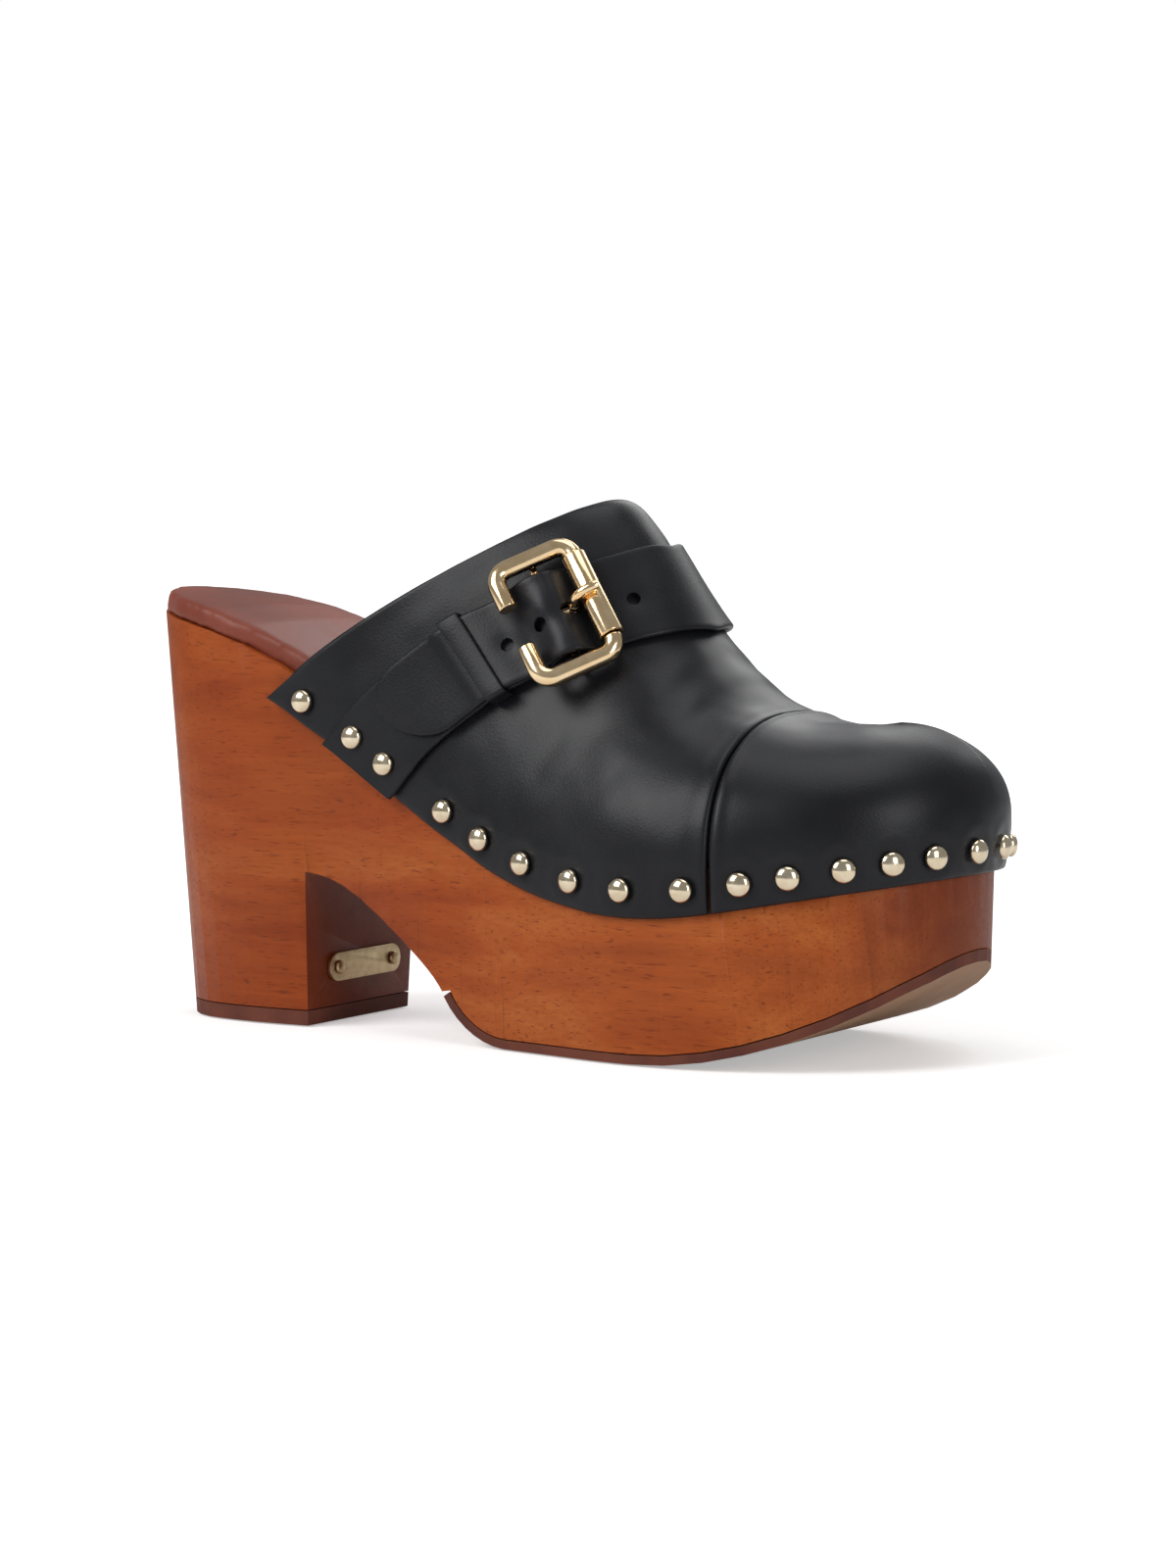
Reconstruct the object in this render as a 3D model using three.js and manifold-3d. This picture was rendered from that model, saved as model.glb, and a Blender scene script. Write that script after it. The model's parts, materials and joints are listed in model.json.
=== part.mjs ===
// Platform clog for the right foot: a stained wooden sole with a block heel, a black leather upper
// nailed round its edge with domed studs, and a strap with a roller buckle over the instep.
// Millimetres. +X towards the toe, +Y towards the inner side of the foot, +Z up.
// The shoe is drawn from the back of its heel (x = 0) and moved at the end, so that the origin lies
// on the ground under the middle of its bounding box.
import * as THREE from 'three';
import { LoftGeometry } from 'three/addons/geometries/LoftGeometry.js';
import { mergeVertices } from 'three/addons/utils/BufferGeometryUtils.js';
import Module from 'manifold-3d';

const wasm = await Module();
wasm.setup();

// ---------- Driving dimensions ----------
const GAP = 0.3; // between touching pieces
const LEATHER = 1.7; // upper leather
const LINING = 1;
const PUFF = 1; // toe stiffener between leather and lining
const OUTSOLE = 2.3;
const TOP_LIFT = 3.9;
const BREAST = { x: 57.2, lean: 1, top: 41 }; // front of the heel, leaning back towards the ground
const HEEL_BACK_LEAN = 7; // how far the back of the heel moves forward at the ground
const HEEL_NARROWING = 0.22; // share of its width that the heel loses at the ground
const HEEL_HEIGHT = 105; // height over which the heel tapers
const INSOLE = { height: 5.6, cover: 1.1, inset: 0.5, insetUnderUpper: 2.6 };
const STUD = { radius: 3.05, height: 2.1, shank: 0.75, length: 9, hole: 1.05 };
const STRAP = { width: 25.4, thickness: 1.5, skived: 0.9, rest: 0.45 }; // rest: gap under it
const BUCKLE = {
  halfLength: 10.3, halfWidth: 16.35, rod: 2.4, corner: 3.9, opening: 5.85, height: 6.9,
  across: 0.495, forward: 0.2, turn: 5.8, tip: 11,
};
const CENTRE_BAR = { radius: 1, height: 3.4 };
const ROLLER = { inner: 2, outer: 3.25, halfLength: 12.1, core: 1.7 };
const HOLE = { radius: 1.8, spacing: 10.2, across: 0.54 };
const PRONG = { radius: 1.35, eye: 2.5, bore: 1.3 };
const KEEPER = { behindBar: 26.2, width: 5.8, wall: 1, under: 0.8, sideGap: 0.4, topGap: 1.15 };
const PLAQUE = { length: 34.2, width: 7.5, thickness: 1, screwSpacing: 26.2, y: 1.1, z: 14.5 };

// Side view: top of the wood.
const WOOD_TOP = [[-4, 110.8], [0, 110.1], [25, 105.1], [40, 100.6], [50, 96.2], [62, 89.8],
  [75, 83.2], [100, 67.6], [125, 55.2], [150, 49.2], [175, 48.2], [205, 51.6], [240, 57.2], [248, 58.5]];
// Side view: ridge of the upper, from the throat to the front of the toe box.
const RIDGE = [[134, 138.3], [138, 138.3], [142, 136], [147, 130.2], [152, 122.8], [158, 113.6],
  [165, 103.2], [173, 94.6], [180, 88.6], [187, 85.2], [195, 82.6], [204, 82.4], [211, 82.6],
  [217, 83.4]];
// Plan view: wall of the wood, from the back of the heel round the outer side to the toe and back.
const PLAN = [[0, 0], [4, -14], [15, -26], [35, -31], [70, -31], [105, -33.5], [135, -40], [163, -45.6],
  [190, -44.6], [213, -36], [229, -23], [237, -8], [237.6, 8], [231, 24], [216, 37], [194, 44.5],
  [165, 45], [135, 39.5], [105, 33.5], [70, 31], [35, 31], [15, 26], [4, 14]];

// ---------- Shared geometry helpers ----------
const lerp = THREE.MathUtils.lerp;
const smooth = THREE.MathUtils.smoothstep;
const v3 = (x, y, z) => new THREE.Vector3(x, y, z);

// Height of a side-view line at x.
function heightLine(points) {
  const line = new THREE.SplineCurve(points.map(([x, z]) => new THREE.Vector2(x, z))).getPoints(240);
  return (x) => {
    const i = Math.max(1, Math.min(line.length - 1, line.findIndex((p) => p.x >= x)));
    const [a, b] = [line[i - 1], line[i]];
    return lerp(a.y, b.y, (x - a.x) / (b.x - a.x));
  };
}
const woodTop = heightLine(WOOD_TOP);
const ridgeHeight = heightLine(RIDGE);

const plan = new THREE.CatmullRomCurve3(PLAN.map(([x, y]) => v3(x, y, 0)), true, 'centripetal');
plan.arcLengthDivisions = 1200;
// Share of the plan's length at the toe tip, or where one side reaches x.
const TIP_U = (() => {
  let best = 0.5;
  for (let u = 0.4; u < 0.6; u += 0.0005) {
    if (plan.getPointAt(u).x > plan.getPointAt(best).x) best = u;
  }
  return best;
})();
function shareAt(side, x) {
  let [near, far] = side < 0 ? [0, TIP_U] : [1, TIP_U];
  for (let i = 0; i < 40; i++) {
    const mid = (near + far) / 2;
    [near, far] = plan.getPointAt(mid).x < x ? [mid, far] : [near, mid];
  }
  return (near + far) / 2;
}
// Point of the wood's wall, moved out by a distance, and its outward direction.
function wall(u, out = 0) {
  const t = plan.getTangentAt(u);
  const normal = v3(t.y, -t.x, 0).normalize();
  if (normal.dot(plan.getPointAt(u).sub(v3(120, 0, 0))) < 0) normal.negate();
  return { point: plan.getPointAt(u).addScaledVector(normal, out), normal };
}

// Joins a geometry's shared vertices, drops empty triangles and turns it to face out.
function welded(geometry) {
  const bare = new THREE.BufferGeometry().copy(geometry);
  bare.deleteAttribute('normal');
  bare.deleteAttribute('uv');
  const g = mergeVertices(bare, 1e-3);
  const p = g.attributes.position;
  const kept = [];
  let volume = 0;
  const [a, b, c] = [v3(), v3(), v3()];
  for (let i = 0; i < g.index.count; i += 3) {
    const t = [0, 1, 2].map((k) => g.index.getX(i + k));
    if (t[0] === t[1] || t[1] === t[2] || t[2] === t[0]) continue;
    a.fromBufferAttribute(p, t[0]);
    b.fromBufferAttribute(p, t[1]);
    c.fromBufferAttribute(p, t[2]);
    volume += a.dot(b.cross(c)) / 6;
    kept.push(t);
  }
  if (volume < 0) kept.forEach((t) => t.reverse());
  g.setIndex(kept.flat());
  return g;
}
function solid(geometry) {
  const g = welded(geometry);
  return new wasm.Manifold(new wasm.Mesh({
    numProp: 3, vertProperties: g.attributes.position.array, triVerts: new Uint32Array(g.index.array),
  }));
}
function geometryOf(manifold) {
  const m = manifold.getMesh();
  return new THREE.BufferGeometry()
    .setAttribute('position', new THREE.BufferAttribute(m.vertProperties, 3))
    .setIndex(new THREE.BufferAttribute(m.triVerts, 1));
}
const cut = (body, tools) => tools.reduce((left, tool) => left.subtract(tool), body);

// A closed side-view outline [[x, z], ...] drawn across the whole width.
function acrossWidth(outline, halfDepth = 70) {
  const shape = new THREE.Shape(outline.map(([x, z]) => new THREE.Vector2(x, z)));
  return new THREE.ExtrudeGeometry(shape, { depth: 2 * halfDepth, bevelEnabled: false })
    .rotateX(Math.PI / 2).translate(0, halfDepth, 0);
}

const parts = new THREE.Group();
function add(name, geometry, material, place) {
  const mesh = new THREE.Mesh(geometry, material);
  mesh.name = name;
  if (place) place(mesh);
  parts.add(mesh);
  return mesh;
}

// ---------- Materials ----------
const finish = (color, roughness, metalness = 0) => (
  new THREE.MeshStandardMaterial({ color, roughness, metalness }));
const STAINED_WOOD = finish(0x99502a, 0.45);
const BLACK_LEATHER = finish(0x17171a, 0.4);
const TAN_LEATHER = finish(0x8a4a38, 0.55);
const LINING_LEATHER = finish(0x1a1817, 0.7);
const FOAM = finish(0xd8cdb8, 0.9);
const BOARD = finish(0xb9a88a, 0.85);
const RUBBER = finish(0x4a2118, 0.75);
const BRASS = finish(0xd2ac62, 0.18, 1);

// ---------- Wooden sole, outsole and top lift ----------
const ROCKER = { start: 165, radius: 118 }; // the forefoot's underside curls up to the toe
const HEELWARD = { end: 125.3, radius: 25, angle: 58 }; // and curves up into the arch
const ARCH = [[57.3, 41], [65, 39.7], [75, 35.2], [87, 27.6], [95.5, 21.2], [100.8, 16.4], [103.6, 13]];
const STEP = [106.3, 13.4]; // the arch steps down to the outsole

// Underside of the forefoot from the arch to the toe, lifted by a height along its own normal.
function forefootUnderside(lift) {
  const line = [];
  for (let a = HEELWARD.angle; a > 0; a -= 8) {
    const angle = THREE.MathUtils.degToRad(a);
    const r = HEELWARD.radius - lift;
    line.push([HEELWARD.end - r * Math.sin(angle), HEELWARD.radius - r * Math.cos(angle)]);
  }
  line.push([HEELWARD.end, lift]);
  for (let a = 0; a <= 40; a += 5) {
    const angle = THREE.MathUtils.degToRad(a);
    const r = ROCKER.radius - lift;
    line.push([ROCKER.start + r * Math.sin(angle), ROCKER.radius - r * Math.cos(angle)]);
  }
  return line;
}
// Plan walls from the ground up, the heel narrowing and leaning forward towards the ground.
const WALL_POINTS = 84;
const HEEL_END_X = 62;
function wallRing(z, out = 0) {
  const low = 1 - z / HEEL_HEIGHT;
  return Array.from({ length: WALL_POINTS }, (_, i) => {
    const { point } = wall(i / WALL_POINTS, out);
    const heel = 1 - smooth(point.x, HEEL_END_X, 98);
    const lean = HEEL_BACK_LEAN * low * heel * (1 - point.x / HEEL_END_X);
    const toeIn = 1.6 * (1 - z / 55) * smooth(point.x, 190, 238);
    return v3(point.x + lean - toeIn, point.y * (1 - HEEL_NARROWING * low * heel), z);
  });
}
const CAPPED = { capStart: true, capEnd: true };
const outerWalls = solid(new LoftGeometry([wallRing(-2), wallRing(60), wallRing(125)], CAPPED));

function topLine(lift, from, to, step = 8) {
  const line = [];
  for (let x = from; x < to; x += step) line.push([x, woodTop(x) + lift]);
  line.push([to, woodTop(to) + lift]);
  return line;
}
const breast = (z) => BREAST.x - BREAST.lean * (1 - z / BREAST.top);
const archLine = new THREE.SplineCurve(ARCH.map(([x, z]) => new THREE.Vector2(x, z)))
  .getPoints(12).map((p) => [p.x, p.y]);
const underWood = forefootUnderside(OUTSOLE + GAP);
const woodOutline = [
  [-6, TOP_LIFT + GAP], [breast(TOP_LIFT), TOP_LIFT + GAP], [BREAST.x, BREAST.top],
  ...archLine.slice(1), STEP, ...underWood.filter(([x]) => x > STEP[0] + 0.1), [252, 62],
  ...topLine(0, 0, 246, 10).reverse(), [-6, 109],
];
const woodBody = outerWalls.intersect(solid(acrossWidth(woodOutline)));

const outsoleOutline = [
  ...forefootUnderside(0),
  ...forefootUnderside(OUTSOLE).reverse(),
];
const outsoleBody = outerWalls.intersect(solid(acrossWidth(outsoleOutline)));
const liftOutline = [[-6, 0], [breast(0), 0], [breast(TOP_LIFT), TOP_LIFT], [-6, TOP_LIFT]];
const liftBody = outerWalls.intersect(solid(acrossWidth(liftOutline)));

// ---------- Upper ----------
// A point of the upper is found by its side, by v from the throat (0) to the toe (1), by q from the
// lower edge (0) over the top of the wood (MARGIN) to the ridge (1), and by its depth under the
// leather's outer face.
const MARGIN = 0.2;
const CORNER_X = 49; // rear corner of the upper on the wood
const CORNER_TOP_X = 57; // where the top line leaves the wood
const THROAT_X = 135;
const SPINE_END_X = 216;
const SEAM_V = 0.64;
const OUT = LEATHER + GAP; // outer face of the leather from the wood's wall

function edgeShare(side, v, startX) {
  return lerp(shareAt(side, startX), TIP_U, v);
}
function outerPoint(side, v, q) {
  const low = wall(edgeShare(side, v, lerp(CORNER_X, CORNER_TOP_X, smooth(v, 0, 0.5))), OUT);
  const top = wall(edgeShare(side, v, CORNER_TOP_X), OUT);
  top.point.z = woodTop(top.point.x) + 0.4;
  const drop = 9.9 + 2.1 * smooth(v, 0, 0.15) - 1.7 * smooth(v, 0.5, 0.8);
  low.point.z = woodTop(low.point.x) - drop;
  const angle = Math.max(0, (q - MARGIN) / (1 - MARGIN)) * Math.PI / 2;
  const ridgeX = lerp(THROAT_X, SPINE_END_X, v);
  const ridge = v3(ridgeX, 1.5 * smooth(v, 0.3, 1), ridgeHeight(ridgeX));
  const power = 2 / lerp(2.1, 2.35, smooth(v, 0, 1));
  const across = Math.max(0, Math.cos(angle)) ** power;
  const up = Math.sin(angle) ** power;
  const share = Math.sin(angle) ** 1.1;
  const p = v3(0, lerp(ridge.y, top.point.y, across), lerp(top.point.z, ridge.z, up));
  const rearX = lerp(top.point.x, ridge.x, share);
  p.x = lerp(rearX, lerp(ridge.x, top.point.x, across), smooth(v, 0.4, 0.85));
  const bulge = lerp(0.4, 2.15, smooth(v, 0.1, 0.95)) * Math.sin(Math.PI * Math.max(0, q) ** 0.75);
  if (q <= MARGIN) p.lerpVectors(low.point, top.point, q / MARGIN);
  return p.addScaledVector(top.normal, bulge);
}
function sidePoint(side, v, q, depth) {
  const point = outerPoint(side, v, q);
  if (!depth) return point;
  const step = 0.01;
  const vn = THREE.MathUtils.clamp(v, step, 0.97);
  const qn = THREE.MathUtils.clamp(q, step, 0.98);
  const alongV = outerPoint(side, vn + step, qn).sub(outerPoint(side, vn - step, qn));
  const alongQ = outerPoint(side, vn, qn + step).sub(outerPoint(side, vn, qn - step));
  const inward = alongV.cross(alongQ).multiplyScalar(side).normalize();
  if (q <= MARGIN) inward.setZ(0).normalize();
  return point.addScaledVector(inward, depth);
}
// Both sides meet in one line along the ridge and down the toe tip.
function upperPoint(side, v, q, depth = 0) {
  const point = sidePoint(side, v, q, depth);
  if (q < 1 && v < 1) return point;
  return point.add(sidePoint(-side, v, q, depth)).multiplyScalar(0.5);
}
// A closed sheet of the upper between two depths, from v0 to v1 and from q0 up to the ridge.
const V_GRID = [...Array.from({ length: 14 }, (_, i) => (i * SEAM_V) / 14),
  0.64, 0.68, 0.72, 0.76, 0.8, 0.845, 0.89, 0.93, 0.97];
const Q_GRID = [0.1, MARGIN, 0.28, 0.36, 0.45, 0.54, 0.63, 0.72, 0.81, 0.9];
const gridBetween = (grid, from, to) => (
  [from, ...grid.filter((x) => x > from + 0.005 && x < to - 0.005), to]);
function upperSheet({ v0, v1, q0 = 0, depth, thickness }) {
  const qs = gridBetween(Q_GRID, q0, 1);
  const ring = (v, outer, inner) => {
    const face = (d) => [
      ...qs.map((q) => upperPoint(-1, v, q, d)),
      ...qs.slice(0, -1).reverse().map((q) => upperPoint(1, v, q, d)),
    ];
    return [...face(outer), ...face(inner).reverse()];
  };
  const rings = gridBetween(V_GRID, v0, v1).map((v) => ring(v, depth(v), depth(v) + thickness));
  const rim = (v) => ring(v, depth(v) + thickness / 2, depth(v) + thickness / 2);
  rings.unshift(rim(v0));
  if (v1 < 1) rings.push(rim(v1));
  return new LoftGeometry(rings, { closed: true });
}

// ---------- Straps ----------
// A point on the strap's track over the vamp: s is the length along its middle from the outer side's
// lower end, across runs from the rear edge (0) to the front edge (1), height is above the vamp.
// Its edges are lines of v over q; near each other they only set its direction, not its width.
const STRAP_REAR = [[-0.2, 0.078], [0, 0.083], [0.2, 0.086], [0.42, 0.095], [0.52, 0.115],
  [0.73, 0.156], [0.83, 0.173], [1, 0.188]];
const STRAP_FRONT = [[-0.2, 0.158], [0, 0.184], [0.2, 0.2], [0.34, 0.224], [0.47, 0.255],
  [0.69, 0.307], [0.81, 0.333], [1, 0.36]];
const rearLine = heightLine(STRAP_REAR);
const frontLine = heightLine(STRAP_FRONT);
function rawTrackPoint(t, across, height) {
  const q = t <= 1 ? t : 2 - t;
  const side = t <= 1 ? -1 : 1;
  const v = lerp(rearLine(q), frontLine(q), across);
  return upperPoint(side, v, q, -height);
}
const TRACK = (() => {
  const rows = [];
  let last = null;
  for (let t = -0.1; t <= 2.1; t += 0.005) {
    const next = rawTrackPoint(t, 0.5, 2);
    const s = last ? rows.at(-1).s + next.distanceTo(last) : 0;
    const width = rawTrackPoint(t, 0, 2).distanceTo(rawTrackPoint(t, 1, 2));
    rows.push({ t, s, narrowing: STRAP.width / width });
    last = next;
  }
  return rows;
})();
function trackPoint(s, across, height) {
  const i = Math.max(1, Math.min(TRACK.length - 1, TRACK.findIndex((row) => row.s >= s)));
  const [a, b] = [TRACK[i - 1], TRACK[i]];
  const share = (s - a.s) / (b.s - a.s);
  const narrowing = lerp(a.narrowing, b.narrowing, share);
  return rawTrackPoint(lerp(a.t, b.t, share), 0.5 + (across - 0.5) * narrowing, height);
}
const trackLength = (t) => TRACK.find((row) => row.t >= t).s;

const BAR_S = trackLength(0.588); // the buckle's centre bar on the strap's track
// Across the buckle and the keeper the strap is cut square to its length.
const squaring = (s) => 5.2 * smooth(s, 25, 45) * (1 - smooth(s, 85, 112));
const strapPoint = (s, across, height) => trackPoint(s - squaring(s) * (across - 0.5), across, height);

// A band of leather: path lists [s, height of its middle, thickness], half is its half width at s.
function band(path, half = () => 0.5, columns = 4) {
  const row = ([s, height], halfAcross) => Array.from({ length: columns + 1 }, (_, i) => (
    strapPoint(s, 0.5 + halfAcross * (2 * i / columns - 1), height)));
  const rings = path.map(([s, height, thickness], i) => {
    const [before, after] = [path[Math.max(0, i - 1)], path[Math.min(path.length - 1, i + 1)]];
    const along = new THREE.Vector2(after[0] - before[0], after[1] - before[1]).normalize();
    const [ds, dh] = [-along.y * thickness / 2, along.x * thickness / 2];
    const h = half(s);
    return [...row([s + ds, height + dh], h), ...row([s - ds, height - dh], h).reverse()];
  });
  for (const end of [0, rings.length - 1]) {
    const ring = rings[end];
    const flat = ring.map((p, i) => p.clone().add(ring[ring.length - 1 - i]).multiplyScalar(0.5));
    rings.splice(end ? rings.length : 0, 0, flat);
  }
  return new LoftGeometry(rings, { closed: true });
}
// Points of a smooth line through [s, height, thickness] knots.
const smoothLine = (points) => new THREE.CatmullRomCurve3(points, false, 'centripetal');
const pathThrough = (knots, count) => smoothLine(knots.map((k) => v3(...k))).getPoints(count)
  .map((p) => p.toArray());

// ---------- Studs ----------
// Places along the upper's lower edge, from the rear corner to the toe. The second and third studs
// also hold the lower ends of the strap.
const STUD_PLACES = [0.035, 0.108, 0.155, 0.245, 0.305, 0.374, 0.453, 0.528, 0.609, 0.677, 0.732,
  0.794, 0.849, 0.901, 0.962];
const STUDS_ON_STRAP = [1, 2];
const STUD_Q = { plain: 0.113, onStrap: 0.128 };
const TOE_STUD_SHIFT = 0.014; // the inner side's last stud sits nearer the toe tip
const studs = [];
for (const side of [-1, 1]) {
  STUD_PLACES.forEach((v, i) => {
    const onStrap = STUDS_ON_STRAP.includes(i);
    const last = side > 0 && i === STUD_PLACES.length - 1;
    const place = v + (onStrap ? 0.005 : 0) + (last ? TOE_STUD_SHIFT : 0);
    const { normal } = wall(edgeShare(side, place, CORNER_X));
    const cover = onStrap ? STRAP.thickness + STRAP.rest : 0;
    const seat = upperPoint(side, place, onStrap ? STUD_Q.onStrap : STUD_Q.plain)
      .addScaledVector(normal, cover + GAP);
    studs.push({ seat, normal });
  });
}
const alongNormal = (normal) => new THREE.Quaternion().setFromUnitVectors(v3(0, 1, 0), normal);
const studHoles = studs.map(({ seat, normal }) => (
  solid(new THREE.CylinderGeometry(STUD.hole, STUD.hole, 24, 6)
    .translate(0, 12 - STUD.length - 1, 0)
    .applyQuaternion(alongNormal(normal))
    .translate(...seat.toArray()))));
const holeBodies = wasm.Manifold.union(studHoles);
const lathe = (profile, segments) => (
  new THREE.LatheGeometry(profile.map(([r, y]) => new THREE.Vector2(r, y)), segments));
// A nail with a pointed shank and a domed head over a short straight rim.
function studGeometry() {
  const rim = 0.35;
  const middleRise = rim + (STUD.height - rim) * Math.SQRT1_2;
  return lathe([
    [0, -STUD.length], [STUD.shank, 1.6 - STUD.length], [STUD.shank, 0], [STUD.radius, 0],
    [STUD.radius, rim], [STUD.radius * Math.SQRT1_2, middleRise], [0, STUD.height],
  ], 9);
}

// ---------- Heel plaque ----------
const breastTilt = Math.atan2(BREAST.lean, BREAST.top);
const plaqueFrame = new THREE.Matrix4()
  .makeRotationY(Math.PI / 2 - breastTilt)
  .setPosition(breast(PLAQUE.z) + GAP, PLAQUE.y, PLAQUE.z);
const screwPlaces = [-1, 1].map((k) => k * PLAQUE.screwSpacing / 2);
function obround(length, width, depth) {
  const shape = new THREE.Shape();
  const [r, h] = [width / 2, (length - width) / 2];
  shape.absarc(0, h, r, 0, Math.PI).absarc(0, -h, r, Math.PI, 2 * Math.PI);
  return new THREE.ExtrudeGeometry(shape, { depth, bevelEnabled: false, curveSegments: 8 });
}
const screwHole = (radius, depth, y, bottom) => new THREE.CylinderGeometry(radius, radius, depth, 10)
  .rotateX(Math.PI / 2).translate(0, y, depth / 2 + bottom);
const placed = (geometry) => geometry.clone().applyMatrix4(plaqueFrame);
const SCREW_HOLE = { inWood: 0.95, inPlaque: 1 };
const SCREW_PROFILE = [[0, -6], [0.7, -5], [0.7, 1.3], [1.9, 1.3], [1.7, 2], [0.7, 2.3], [0, 2.35]];
const screwGeometry = (y) => placed(lathe(SCREW_PROFILE, 12).rotateX(Math.PI / 2).translate(0, y, 0));

// ---------- Buckle ----------
const barPoint = strapPoint(BAR_S, BUCKLE.across, 0);
const alongStrap = strapPoint(BAR_S + 8, 0.5, 0).sub(strapPoint(BAR_S - 8, 0.5, 0)).normalize();
const outOfStrap = strapPoint(BAR_S, 1, 0).sub(strapPoint(BAR_S, 0, 0)).cross(alongStrap)
  .normalize();
alongStrap.applyAxisAngle(outOfStrap, THREE.MathUtils.degToRad(BUCKLE.turn));
const acrossStrap = outOfStrap.clone().cross(alongStrap);
// The buckle is tipped about its centre bar, its roller end lifted off the strap.
const buckleFrame = new THREE.Matrix4().makeBasis(alongStrap, acrossStrap, outOfStrap)
  .setPosition(barPoint)
  .multiply(new THREE.Matrix4().makeTranslation(0, 0, CENTRE_BAR.height))
  .multiply(new THREE.Matrix4().makeRotationY(THREE.MathUtils.degToRad(BUCKLE.tip)))
  .multiply(new THREE.Matrix4().makeTranslation(0, 0, -CENTRE_BAR.height));
const onBuckle = (geometry) => geometry.applyMatrix4(buckleFrame);

// A round rod along points, its radius at each, mitred at the bends.
function rod(points, radii, sides = 10) {
  const rings = points.map((p, i) => {
    const into = p.clone().sub(points[Math.max(0, i - 1)]).normalize();
    const outOf = points[Math.min(points.length - 1, i + 1)].clone().sub(p).normalize();
    const along = into.add(outOf).normalize();
    const flatSide = Math.abs(along.z) < 0.7 || Math.abs(along.y) > 0.3 ? v3(0, 0, 1) : v3(0, 1, 0);
    const x = flatSide.clone().cross(along).normalize();
    const y = along.clone().cross(x);
    return Array.from({ length: sides }, (_, k) => {
      const angle = (k + 0.5) / sides * 2 * Math.PI;
      return p.clone().addScaledVector(x, radii[i] * Math.cos(angle))
        .addScaledVector(y, radii[i] * Math.sin(angle));
    });
  });
  return new LoftGeometry(rings, { closed: true, capStart: true, capEnd: true });
}
// The buckle's open frame: two bends, the thinner core inside the roller, two bends.
const BEND_STEPS = 5;
function framePath() {
  const { halfLength: x, halfWidth: y, corner: r, opening, height: z, forward } = BUCKLE;
  const points = [[v3(-x, opening, z), BUCKLE.rod]];
  const bend = (cx, cy, from) => {
    for (let i = 0; i <= BEND_STEPS; i++) {
      const a = from - (i / BEND_STEPS) * Math.PI / 2;
      points.push([v3(cx + r * Math.cos(a), cy + r * Math.sin(a), z), BUCKLE.rod]);
    }
  };
  bend(r - x, y - r, Math.PI);
  bend(x - r, y - r, Math.PI / 2);
  const core = ROLLER.halfLength + GAP;
  points.splice(points.length - 1, 1);
  points.push([v3(x, core + 0.3, z), BUCKLE.rod], [v3(x, core, z), ROLLER.core]);
  points.push([v3(x, -core, z), ROLLER.core], [v3(x, -core - 0.3, z), BUCKLE.rod]);
  const start = points.length;
  bend(x - r, r - y, 0);
  points.splice(start, 1);
  bend(r - x, r - y, -Math.PI / 2);
  points.push([v3(-x, -opening, z), BUCKLE.rod]);
  points.forEach(([p]) => p.setX(p.x + forward));
  return points;
}
const path = framePath();
const rim = solid(rod(path.map(([p]) => p), path.map(([, r]) => r)));
// The centre bar drops from the frame's two sides to lie under the strap's fold.
const barEnds = BUCKLE.halfWidth - 1.6;
const barHalf = [
  [BUCKLE.halfWidth, BUCKLE.height], [barEnds, CENTRE_BAR.height + 1], [barEnds - 1, CENTRE_BAR.height],
];
const barLine = [...barHalf, ...barHalf.map(([y, z]) => [-y, z]).reverse()].map(([y, z]) => v3(0, y, z));
const centreBar = solid(rod(barLine, barLine.map(() => CENTRE_BAR.radius), 8));
const frameBody = rim.add(centreBar);

const tube = (inner, outer, half, segments) => (
  lathe([[inner, -half], [outer, -half], [outer, half], [inner, half], [inner, -half]], segments));
const rollerGeometry = tube(ROLLER.inner, ROLLER.outer, ROLLER.halfLength, 16)
  .translate(BUCKLE.halfLength + BUCKLE.forward, 0, BUCKLE.height);

const eye = solid(tube(PRONG.bore, PRONG.eye, PRONG.radius, 14).translate(0, 0, CENTRE_BAR.height));
const PRONG_PATH = [[1.9, 3.6], [3.8, 3.5], [5, 4.4], [5.4, 6.8], [6.2, 9.5], [8.1, 11.3],
  [10.6, 11.9], [12.2, 11.7]];
const prongPoints = smoothLine(PRONG_PATH.map(([x, z]) => v3(x, 0, z))).getPoints(12);
const prongBody = eye.add(solid(rod(prongPoints, prongPoints.map(() => PRONG.radius), 8)));

// ---------- Straps and keeper ----------
// The lower strap folds round the centre bar and is stitched down under itself.
const WRAP_SLACK = 0.55;
const WRAP_HEIGHT = CENTRE_BAR.height - 0.2; // the vamp is slightly hollow across the buckle
const UNDER_FOLD = 0.85; // height of the middle of the folded-under end
const wrap = [];
for (let a = 115; a >= -90; a -= 20.5) {
  const angle = THREE.MathUtils.degToRad(a);
  const r = CENTRE_BAR.radius + WRAP_SLACK + STRAP.skived / 2;
  wrap.push([BAR_S + r * Math.cos(angle), WRAP_HEIGHT + r * Math.sin(angle), STRAP.skived]);
}
const rest = STRAP.rest + STRAP.thickness / 2; // height of a strap's middle on the vamp
const keeperFrom = BAR_S - KEEPER.behindBar;
const keeperTo = keeperFrom + KEEPER.width;
const onKeeper = GAP + KEEPER.under + GAP + STRAP.thickness / 2;
const full = (s, h) => [s, h, STRAP.thickness];
const lowerPath = [
  ...pathThrough([
    full(5.2, rest), full(16, rest), full(30, rest), full(keeperFrom - 5, rest + 0.3),
    full(keeperFrom - 1, onKeeper), full(keeperTo + 1, onKeeper), full(BAR_S - 12, 1.25),
    [BAR_S - 6, 2.4, 1.2],
  ], 18),
  ...wrap,
  [BAR_S - 3.5, UNDER_FOLD, STRAP.skived],
  [BAR_S - 6.5, UNDER_FOLD, STRAP.skived],
];
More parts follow.
